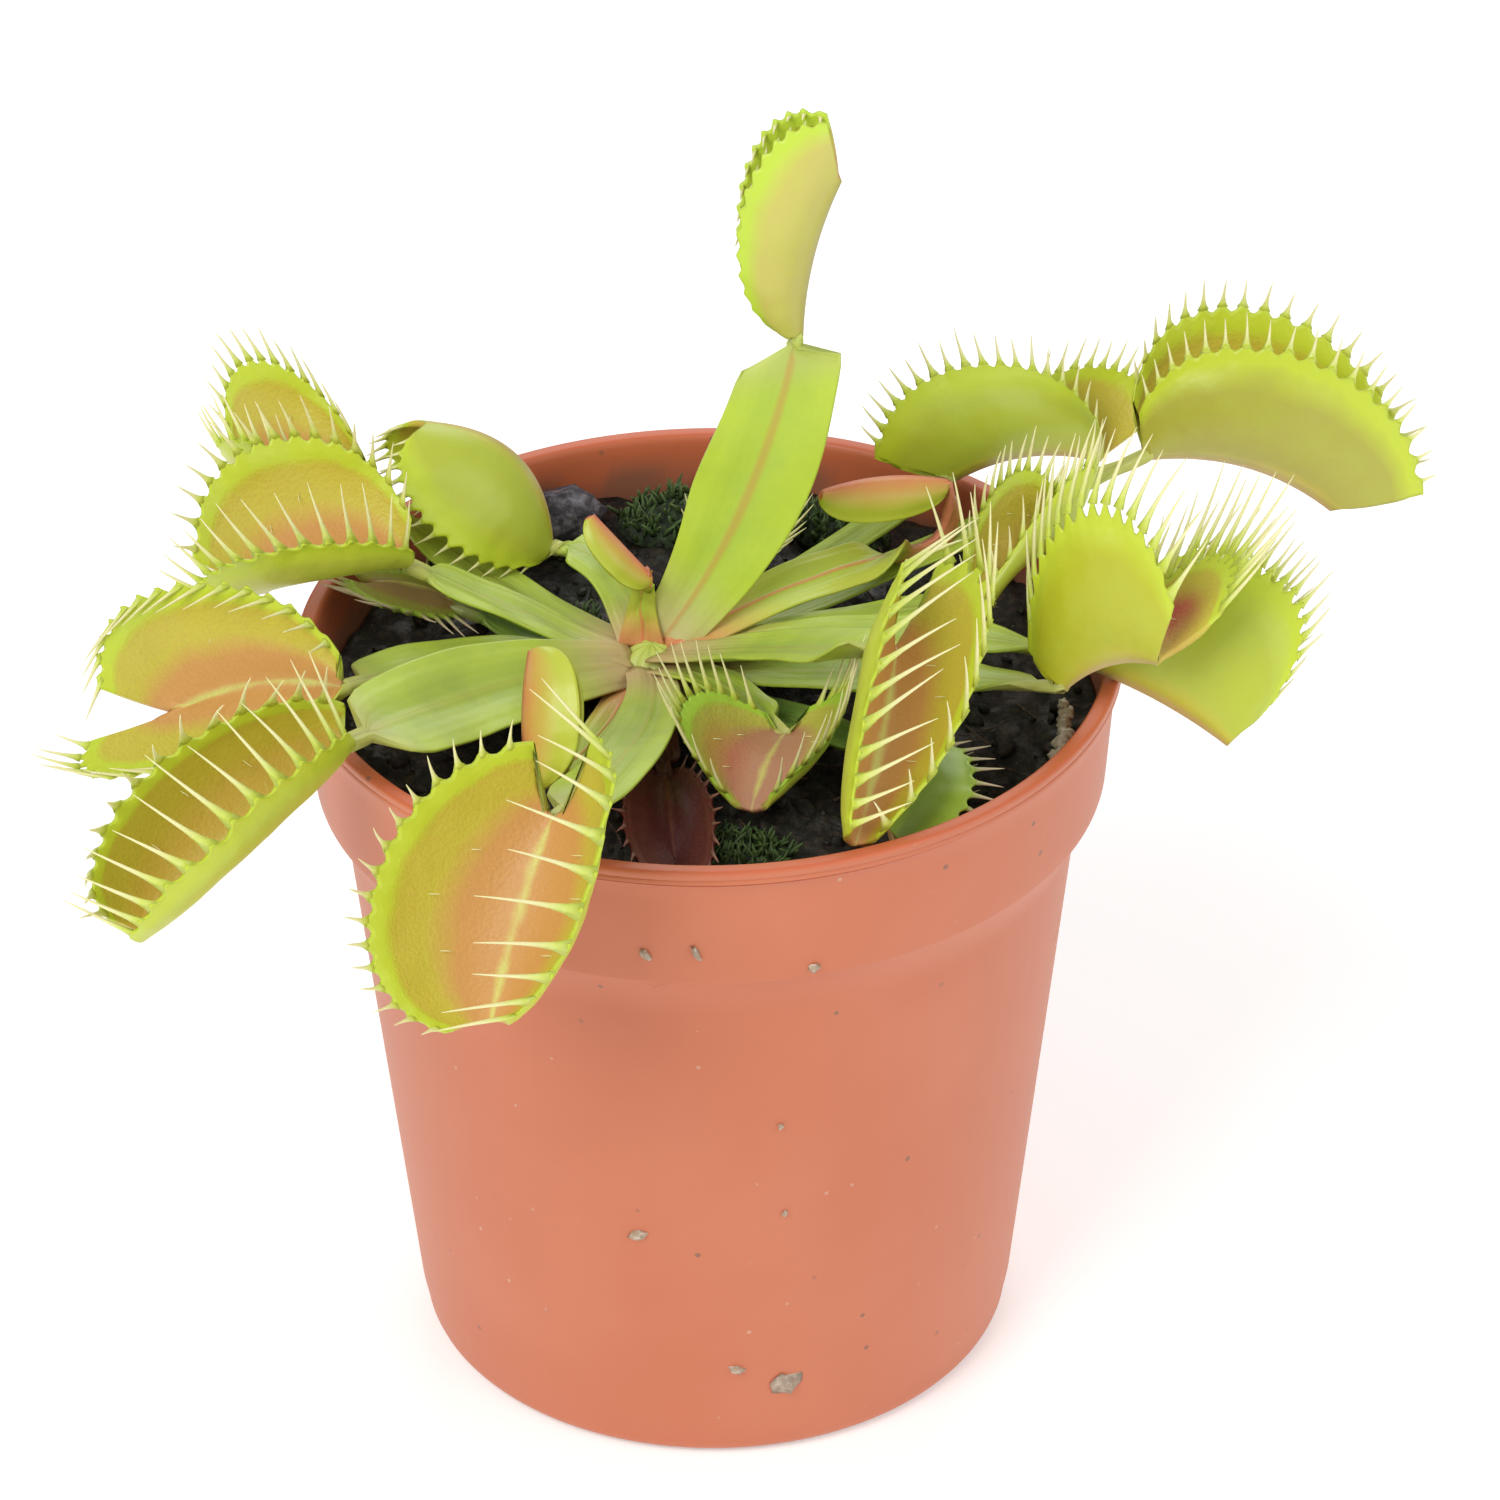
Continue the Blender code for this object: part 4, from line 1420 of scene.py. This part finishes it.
    def margin_point(self, share: float, which: int) -> tuple[Vector, float]:
        """A point on a lobe's margin.

        Args:
            share: from 0 at the heel to 1 at the tip.
            which: the lobe.

        Returns:
            The point, and the lobe's height there, by its greatest.
        """
        before, beyond = self.overhangs[which]
        sweep = self.lobe_sweep * (2 * share - 1)
        middle, reach = (1 + beyond - before) / 2, (1 + beyond + before) / 2
        along = (middle + reach * math.sin(sweep)) * self.length
        size = math.cos(sweep) ** self.roundness
        along += self.leans[which] * size
        return self.heel_point + self.axis * along + self.lobes[which] * size, size

    def trap_point(self, share: float, out: float, scalloped: bool = False) -> Vector:
        """A point on the trap.

        Args:
            share: from 0 at the heel to 1 at the tip.
            out: from -1 at one margin, over the hinge at 0, to 1 at the other.
            scalloped: whether the margin is drawn in between the teeth.

        Returns:
            The point.
        """
        which = 0 if out < 0 else 1
        margin, size = self.margin_point(share, which)
        depth = self.bay(share, which) if scalloped else 0.0
        part = abs(out) * (1 - depth * smooth(self.bay_from, 1.0, abs(out)))
        cup = self.bulge * 4 * part * (1 - part) * (1 - self.cup_fade * part)
        flare = self.rim_flare * max(0.0, (part - self.band) / (1 - self.band)) ** 2
        crease = self.rim_crease * math.exp(-((part - self.band) / self.crease_width) ** 2)
        back = self.backs[which]
        bowl = back * self.lobes[which].length * size * (cup + flare - crease)
        point = self.hinge_point(share) * (1 - part) + margin * part + bowl
        (slow, strong), (quick, weak) = self.ripple_scales
        ripple = noise.noise(point * slow + self.seed) * strong + noise.noise(point * quick) * weak
        return point + back * ripple * part * smooth(0.0, 0.25, size) * self.ripple_height

    def tooth_shares(self, which: int) -> list[float]:
        """Where the teeth stand along a lobe's margin."""
        reach = self.last_tooth - self.first_tooth
        count = self.teeth[which] - 1
        return [self.first_tooth + reach * number / count for number in range(count + 1)]

    def bay(self, share: float, which: int) -> float:
        """How far a lobe's margin is drawn in at a share, by the lobe's height."""
        if not self.tooth[which] or not self.first_tooth < share < self.last_tooth:
            return 0.0
        part = (share - self.first_tooth) / (self.last_tooth - self.first_tooth)
        dip = abs(math.sin(part * (self.teeth[which] - 1) * math.pi)) ** self.bay_curve
        return dip * (self.bay_depth + self.bay_by_tooth * self.tooth[which])

    def rows(self) -> list[tuple[float, float, Callable[[float], Vector]]]:
        """Every row of the sheet: its lobe mark, its share, and the point at each column."""
        rows = []
        shares = [self.neck_start * row / self.blade_rows for row in range(self.blade_rows)]
        shares += [self.neck_start + (1 - self.neck_start) * row / self.neck_rows
                   for row in range(self.neck_rows + 1)]
        for share in shares:
            rows.append((0.0, share, lambda out, at=share: self.blade_point(at, out)))
        for row in range(self.trap_rows + 1):
            share = row / self.trap_rows
            rows.append((1.0, share, lambda out, at=share: self.trap_point(at, out, True)))
        return rows

    def column_place(self, column: int) -> float:
        """How far out a column stands, with the columns closer together at the margin."""
        part = abs(column) / self.half_columns
        return math.copysign(1 - (1 - part) ** self.column_crowding, column)

    def girth(self, lobe: float, share: float, out: float) -> float:
        """Thickness of the sheet at a place, by its greatest thickness."""
        edge, body, rib, rib_reach = self.lobe_girth if lobe else self.blade_girth
        girth = edge + body * smooth(1.0, 0.55, abs(out)) + rib * smooth(rib_reach, 0.0, abs(out))
        if lobe:
            return girth
        neck = smooth(self.neck_start - 0.06, self.neck_start + 0.02, share)
        return max(girth, neck * self.neck_girth)

    def sheet(self, finish: LeafFinish) -> bpy.types.Object:
        """Make the blade and the trap as one thickened sheet.

        Args:
            finish: the leaf's skin.

        Returns:
            The sheet.
        """
        rows = self.rows()
        columns = 2 * self.half_columns
        builder = bmesh.new()
        bmesh.ops.create_grid(builder, x_segments=columns, y_segments=len(rows) - 1, size=1.0)
        layers = leaf_layers(builder)
        weights = builder.verts.layers.deform.verify()
        for vert in builder.verts:
            column = round((vert.co.x + 1) / 2 * columns) - self.half_columns
            row = round((vert.co.y + 1) / 2 * (len(rows) - 1))
            lobe, share, point = rows[row]
            out = self.column_place(column)
            vert.co = point(out)
            vert[layers["across"]] = abs(out)
            vert[layers["along"]] = 1.0 if lobe else share
            vert[layers["lobe"]] = lobe
            spot = math.exp(-((share - self.spot_place) / self.spot_reach) ** 2)
            spot *= smooth(0.05, 0.3, abs(out))
            vert[layers["patch"]] = lobe * self.patch[0 if out < 0 else 1] * spot
            vert[weights][0] = self.girth(lobe, share, out)
        piece = finish_piece(self.name + "_sheet", builder, (finish.lining(), finish.skin()),
                             (self.name,))
        piece.vertex_groups.new(name="girth")
        shell = piece.modifiers.new("thickness", "SOLIDIFY")
        shell.thickness = self.thickness * MM
        shell.offset = 0.0
        shell.vertex_group = "girth"
        shell.material_offset = 1
        shell.material_offset_rim = 0
        return piece

    def fringe(self, finish: ToothFinish) -> bpy.types.Object:
        """Make the teeth along both margins and the trigger hairs inside.

        Args:
            finish: the teeth's finish.

        Returns:
            The teeth, as one piece.
        """
        rod, hair = Spike(5, 6), Spike(4, 3)
        draw = random.Random(self.name)
        builder = bmesh.new()
        builder.verts.layers.float.new("reach")
        for which in range(len(self.signs)):
            self.plant_teeth(builder, rod, draw, which)
            self.plant_hairs(builder, hair, which)
        return finish_piece(self.name + "_teeth", builder, (finish.material(),))

    def plant_teeth(self, builder: bmesh.types.BMesh, rod: Spike, draw: random.Random,
                    which: int) -> None:
        """Add the teeth along one lobe's margin, leaning over the opening.

        Args:
            builder: the bmesh that they join.
            rod: the tooth to copy.
            draw: the source of random numbers.
            which: the lobe.
        """
        sign = self.signs[which]
        lean = math.radians(self.lean[which])
        step = self.web_reach / self.teeth[which]
        radius = self.tooth_radius + self.radius_by_tooth * self.tooth[which]
        for share in self.tooth_shares(which):
            root = self.trap_point(share, sign)
            plain = (root - self.trap_point(share, sign * 0.93)).normalized()
            over = square_to(self.trap_point(share, -sign) - root, plain)
            way = plain * math.cos(lean) + over * math.sin(lean)
            phase = min(1.0, self.heel_phase + share * self.phase_span)
            grown = math.sin(math.pi * phase) ** self.growth_curve
            length = self.tooth[which] * (self.short_tooth + (1 - self.short_tooth) * grown)
            length *= draw.uniform(0.85, 1.12)
            bend = over * draw.uniform(0.02, 0.16) + self.axis * draw.uniform(-0.07, 0.07)
            web = (self.trap_point(share + step, sign) - self.trap_point(share - step, sign)) / 2
            rod.plant(builder, root - plain * self.tooth_root, way.normalized(), bend, length,
                      radius, web=web)

    def plant_hairs(self, builder: bmesh.types.BMesh, hair: Spike, which: int) -> None:
        """Add the three trigger hairs inside one lobe.

        Args:
            builder: the bmesh that they join.
            hair: the hair to copy.
            which: the lobe.
        """
        sign = self.signs[which]
        length = min(self.hair_length, self.hair_share * self.length)
        for share, out in self.hair_places:
            root = self.trap_point(share, sign * out)
            way = (self.trap_point(share, -sign * out) - root).normalized()
            hair.plant(builder, root, way, Vector(), length, self.hair_radius, tip=0.3)

    def build(self, skins: dict[LeafStyle, tuple[LeafFinish, ToothFinish]]) -> None:
        """Make the leaf's pieces.

        Args:
            skins: the leaf and tooth finishes of each style.
        """
        leaf_finish, tooth_finish = skins[self.style]
        self.sheet(leaf_finish)
        if self.tooth[0] > 0:
            self.fringe(tooth_finish)


# Each leaf's name, azimuth, tier, blade middle, trap heel, trap tip, lobe tops and blade width,
# then what sets it apart.
LEAVES = (
    Leaf("leaf_tall", 67, 2, (3.6, 9.6, 92.3), (9.3, 12, 110.6), (13.3, 14, 127.7),
         (2.9, 15.5, 124.3), (2.9, 12, 123.6), 12.8, overhang=(0.02, 0.32), arch=0.05, bulge=0.3,
         face=(-0.2, -1, 0.3), style=LeafStyle.TALL, shoulder=5.0, swell=1.5, root_width=6.0,
         skew=0.5, narrowing=0.2, neck_length=1.0, twist_from=0.95, droop=0.0, teeth=(14, 14),
         tooth=(2.4, 2.4), lean=(80, 80)),
    Leaf("leaf_back_right", 37, 0, (10.5, 19, 78), (25.4, 26, 85), (41.6, 31, 84.4),
         (30.7, 30.1, 97.5), (38.8, 36.8, 92.5), 4.5, overhang=(0.46, 0.03), bulge=0.2,
         style=LeafStyle.GREENISH, overhang_b=(0.1, 0.2), teeth=(18, 18), tooth=(3.6, 3.2),
         lean=(15, 15)),
    Leaf("leaf_far_right", 26, 1, (20, 16.5, 80.5), (46, 23, 89.5), (65.5, 23, 83),
         (57.5, 24, 103), (55.5, 32.5, 103), 4.5, overhang=(0.09, 0.47), style=LeafStyle.OLIVE,
         teeth=(18, 18), tooth=(3.4, 3.4), lean=(10, 10)),
    Leaf("leaf_mid_right", 9, 0, (12.5, 7.5, 78.5), (29.2, 8, 81), (36, 13.5, 84.5),
         (30.9, 12.4, 93.8), (38.3, 16.5, 92), 5, overhang=(0.3, 0.2), style=LeafStyle.GREENISH,
         teeth=(14, 14), tooth=(4.6, 4.6), lean=(8, 8)),
    Leaf("leaf_right_upper", -18, 0, (15, -5.5, 80.5), (35.6, -14.2, 84.7), (45, -17.2, 89.9),
         (37.7, -12.7, 106.4), (48.6, -6.6, 95.6), 8, overhang=(0.28, 0.26), arch=0.12, bulge=0.15,
         style=LeafStyle.SPOTTED, overhang_b=(0, 0.42), teeth=(16, 15), tooth=(9.0, 10.0),
         lean=(22, 14), patch=(0, 1)),
    Leaf("leaf_right_lower", -8, 1, (18, 1, 82), (38.1, -7.4, 83.4), (52.8, -14, 77.9),
         (58.3, -6, 92.8), (55.5, 2.5, 90.6), 6, overhang=(0.1, 0.02), arch=0.04, bulge=0.16,
         style=LeafStyle.GREENISH, overhang_b=(0.1, 0.05), teeth=(16, 15), tooth=(4.6, 5.6),
         lean=(10, 14)),
    Leaf("leaf_front_right", -43, 2, (9, -8.3, 86), (18.5, -19, 92), (14.2, -36, 80.4),
         (16.4, -35, 97), (27, -26.5, 94.5), 9, overhang=(0.42, 0), arch=0.05,
         overhang_b=(0.38, 0.05), teeth=(13, 13), tooth=(9.5, 9.5), lean=(48, 48)),
    Leaf("leaf_front_small", -64, 1, (1.5, -4.5, 79), (7.8, -12, 77.6), (4.3, -22.5, 75.5),
         (-3, -14.9, 83.9), (13.4, -17.6, 84.7), 4.5, overhang=(0.08, 0), style=LeafStyle.ROSY,
         overhang_b=(0.16, 0), teeth=(14, 14), tooth=(5.8, 6.2), lean=(15, 15), patch=(0.5, 0)),
    Leaf("leaf_front_left", -98, 1, (-7.2, -19.5, 82.4), (-15.2, -42, 87.6), (-21.2, -53, 71.6),
         (-33.4, -54, 85.4), (-12.3, -59, 89.1), 7.2, overhang=(0.4, 0.08), arch=0.05,
         overhang_b=(0.42, 0.02), teeth=(16, 11), tooth=(4.2, 10), lean=(18, 66)),
    Leaf("leaf_left_lower", 215, 1, (-22, -8, 81.5), (-36.1, -25, 85.7), (-55.9, -42, 74.7),
         (-55.8, -38.3, 90.5), (-46, -42.7, 89.4), 11, overhang=(0.14, 0.02), arch=0.05,
         bulge=0.24, face=(0, -0.6, 0.8), style=LeafStyle.SUNNY, overhang_b=(0.03, 0.06),
         teeth=(14, 13), tooth=(8.5, 9.5), lean=(28, 46)),
    Leaf("leaf_left_middle", 197, 0, (-23, 0, 79), (-37, -13, 84.5), (-53.5, -18, 85),
         (-50.5, -9, 95.5), (-54, -23.5, 81.5), 9, overhang=(0.08, 0.38), teeth=(15, 14),
         tooth=(5.5, 5.0), lean=(88, 35)),
    Leaf("leaf_left_upper", 182, 1, (-20, 5, 82), (-31.5, 6, 87.5), (-45.5, 2, 87),
         (-42, 11.5, 100.5), (-41, -4.5, 97), 6, overhang=(0.15, 0.45), teeth=(15, 13),
         tooth=(5.0, 6.5), lean=(20, 25)),
    Leaf("leaf_left_rear", 148, 1, (-21, 12.2, 80.2), (-33.5, 18, 87), (-47.5, 18, 91.5),
         (-44.5, 25, 100.8), (-45, 11.5, 99), 6, overhang=(-0.05, 0.1), teeth=(14, 13),
         tooth=(4.2, 5.0), lean=(15, 35)),
    Leaf("leaf_drooping", 116, 1, (-11, 15.9, 81), (-16.8, 18, 81.8), (-29.4, 20, 95.5),
         (-29.4, 11.3, 88.3), (-31.8, 23.2, 86.4), 6, overhang=(0.05, 0), arch=-0.22,
         style=LeafStyle.GREENISH, twist_from=0.86, teeth=(14, 14), tooth=(2.6, 2.6),
         lean=(25, 25)),
    Leaf("leaf_left_shaded", 166, 0, (-17.5, 9.5, 76), (-26.5, 11, 79), (-34.5, 9, 83),
         (-32, 5.5, 82), (-29, 14, 81), 4.5, style=LeafStyle.SHADED, teeth=(12, 12),
         tooth=(5.0, 5.0)),
    Leaf("leaf_young_centre", 126, 2, (-7.1, 8.3, 82.7), (-6.3, 6.3, 85.3), (-12.1, 8, 91.6),
         (-10.8, 4.6, 87.5), (-10.9, 8.2, 85.3), 2.6, overhang=(0.05, 0.03), arch=0, bulge=0.25,
         face=(-0.3, -1, 0.2), style=LeafStyle.YOUNG, tooth=(0, 0)),
    Leaf("leaf_young_hooked", 1, 2, (10.3, 10.9, 82.3), (24.9, 18, 89.2), (11.9, 14.4, 90.3),
         (17.8, 14, 87.1), (17.8, 17.6, 85), 6, overhang=(0, 0.02), arch=-0.07, bulge=0.3,
         face=(0, -0.3, 1), style=LeafStyle.YOUNG, neck=(23.1, 17, 81.5), tooth=(0, 0)),
    Leaf("leaf_young_upright", 236, 0, (-13, -14, 77), (-17.6, -27, 81.6), (-17.5, -18.5, 92.3),
         (-12.5, -25.5, 89.8), (-12.5, -22.5, 87.8), 4, overhang=(0.02, 0.02), arch=-0.05,
         bulge=0.3, style=LeafStyle.YOUNG, tooth=(0, 0)),
    Leaf("leaf_low_right", -56, 0, (11.4, -9.2, 76.3), (19.5, -18, 79.5), (18, -28, 77),
         (27, -25.5, 81), (25.5, -19, 75.5), 5, style=LeafStyle.SHADED, teeth=(12, 12),
         tooth=(3.2, 3.0), lean=(20, 60)),
    Leaf("leaf_rear_small", 70, 0, (-1, 15.2, 76.8), (1.5, 17.5, 78), (3, 23.5, 80),
         (-2, 17.5, 84), (8.5, 24, 80), 4, style=LeafStyle.GREENISH, teeth=(12, 12)),
    Leaf("leaf_old_dark", 264, 0, (-5.5, -8, 74.8), (-4.5, -14, 74), (-3.5, -28, 73.3),
         (-9, -22, 76), (0.5, -22, 76), 4, style=LeafStyle.DARK, teeth=(12, 12),
         tooth=(2.5, 2.5)),
)


# ---------------------------------------------------------------- crown


@dataclass
class Crown:
    """The short bulb that every leaf grows from, with the stumps of old leaf bases."""

    finish: LeafFinish
    sides: int = 72
    ridges: int = 9
    shrink: float = 0.60
    ridge_height: float = 0.04

    def build(self) -> bpy.types.Object:
        """Make the bulb.

        Returns:
            The bulb.
        """
        wide, tall = CROWN_RADIUS * 0.9, CROWN_RADIUS * 0.92
        angles = [math.radians(90 - 7.5 * step) for step in range(1, 24)]
        points = [(wide * math.cos(angle), tall * math.sin(angle)) for angle in angles]
        builder = turned([(0.0, tall), *points, (0.0, -wide)], self.sides)
        layers = leaf_layers(builder)
        for vert in builder.verts:
            turn = math.atan2(vert.co.y, vert.co.x)
            ridge = abs(math.sin(turn * self.ridges / 2 + vert.co.z * 0.25))
            vert.co *= self.shrink + self.ridge_height * ridge
            vert[layers["across"]] = 0.3 + 0.6 * ridge
            vert[layers["along"]] = 0.12 + 0.03 * max(0.0, vert.co.z)
            vert.co += CROWN
        return finish_piece("crown_bulb", builder, (self.finish.lining(),), ("crown",))


# ---------------------------------------------------------------- studio


@dataclass
class Studio:
    """Plain pale floor, soft lights and the camera."""

    aim: Point = (4.1, 0.0, 68.15)
    distance: float = 800.0
    elevation: float = 33.4
    roll: float = -0.44
    lens: float = 185.4
    floor_radius: float = 3000.0
    floor_gap: float = 0.1
    sky_strength: float = 0.42

    def floor(self) -> None:
        """A wide pale disc just under the pot."""
        builder = bmesh.new()
        bmesh.ops.create_circle(builder, cap_ends=True, segments=96, radius=self.floor_radius)
        bmesh.ops.translate(builder, verts=builder.verts, vec=(0, 0, -self.floor_gap))
        pale = Paint("pale floor").finish(base_color=(0.85, 0.85, 0.85), roughness=0.9,
                                          emission_color=(1.0, 1.0, 1.0),
                                          emission_strength=0.35)
        disc = place_mesh("floor", builder, (pale,))

    def light(self, name: str, place: Point, size: float, power: float, colour: Colour) -> None:
        """A square soft light that faces the plant.

        Args:
            name: its name.
            place: where it hangs, in millimetres.
            size: its side, in millimetres.
            power: its power, in watts.
            colour: its colour.
        """
        data = bpy.data.lights.new(name, "AREA")
        data.shape = "SQUARE"
        data.size = size * MM
        data.energy = power
        data.color = colour
        lamp = bpy.data.objects.new(name, data)
        lamp.location = Vector(place) * MM
        away = Vector(place) - Vector(self.aim)
        lamp.rotation_euler = away.to_track_quat("Z", "Y").to_euler()
        bpy.context.scene.collection.objects.link(lamp)

    def camera(self) -> None:
        """The camera, above the rim and in front."""
        rise = math.radians(self.elevation)
        forward = Vector((0.0, math.cos(rise), -math.sin(rise)))
        data = bpy.data.cameras.new("camera")
        data.lens = self.lens
        data.sensor_width = 36.0
        data.clip_start = 0.05
        data.clip_end = 20.0
        view = bpy.data.objects.new("camera", data)
        tilt = Euler((math.radians(90) - rise, 0.0, 0.0)).to_matrix()
        turn = tilt @ Matrix.Rotation(math.radians(self.roll), 3, "Z")
        view.location = (Vector(self.aim) - forward * self.distance) * MM
        view.rotation_euler = turn.to_euler()
        bpy.context.scene.collection.objects.link(view)
        bpy.context.scene.camera = view

    def build(self) -> None:
        """Set the floor, the light and the camera."""
        self.floor()
        world = bpy.data.worlds.new("studio")
        world.use_nodes = True
        sky = world.node_tree.nodes["Background"]
        sky.inputs["Color"].default_value = (1.0, 1.0, 1.0, 1.0)
        sky.inputs["Strength"].default_value = self.sky_strength
        bpy.context.scene.world = world
        self.light("key", (-420, -560, 760), size=520, power=5.6, colour=(1.0, 0.98, 0.95))
        self.light("fill", (620, -420, 420), size=600, power=1.9, colour=(0.97, 0.98, 1.0))
        self.light("back", (100, 700, 600), size=600, power=2.6, colour=(1.0, 1.0, 1.0))
        bpy.context.scene.view_settings.view_transform = "Standard"
        self.camera()


# Azimuth, height, half width and half height of each speck on the outside of the pot.
POT_MARKS = (
    (-13.0, 31.0, 0.9, 0.6), (4.0, 12.5, 0.9, 0.5), (13.0, 10.0, 1.3, 1.6),
    (-9.0, 71.0, 0.7, 0.4), (-2.0, 71.5, 0.9, 0.35), (14.5, 68.5, 0.45, 0.6),
    (11.0, 46.0, 0.35, 0.3), (12.0, 34.0, 0.35, 0.3), (-22.0, 74.0, 0.4, 0.3),
)


def main() -> None:
    """Build the pot, what fills it, the leaves and the studio."""
    logging.basicConfig(level=logging.INFO, format="%(message)s")
    pot = Pot()
    pot.build(PlasticFinish("terracotta plastic"))
    pot.crumbs(POT_MARKS, DUST)
    bed = PeatBed(pot)
    bed.build(PEAT)
    bed.crumbs(PEAT)
    bed.fibres(FIBRE)
    shoots = ShootFinish("moss shoots")
    for patch in MOSS_PATCHES:
        patch.build(MOSS, shoots)
    build_bark(BARK)
    build_grit(GRIT)
    Crown(LeafStyle.TALL.value).build()
    pale_teeth = ToothFinish("pale teeth")
    dark_teeth = ToothFinish("dark teeth", (0.16, 0.05, 0.03), (0.40, 0.18, 0.14))
    # Teeth of the shaded leaves: darker than the pale teeth as painted shade, with pinkish tips.
    shaded_pink_teeth = ToothFinish("dusky teeth", (0.40, 0.46, 0.10), (0.62, 0.50, 0.34))
    special = {LeafStyle.DARK: dark_teeth, LeafStyle.SHADED: shaded_pink_teeth}
    skins = {style: (style.value, special.get(style, pale_teeth)) for style in LeafStyle}
    for leaf in LEAVES:
        leaf.build(skins)
    Studio().build()


if __name__ == "__main__":
    main()
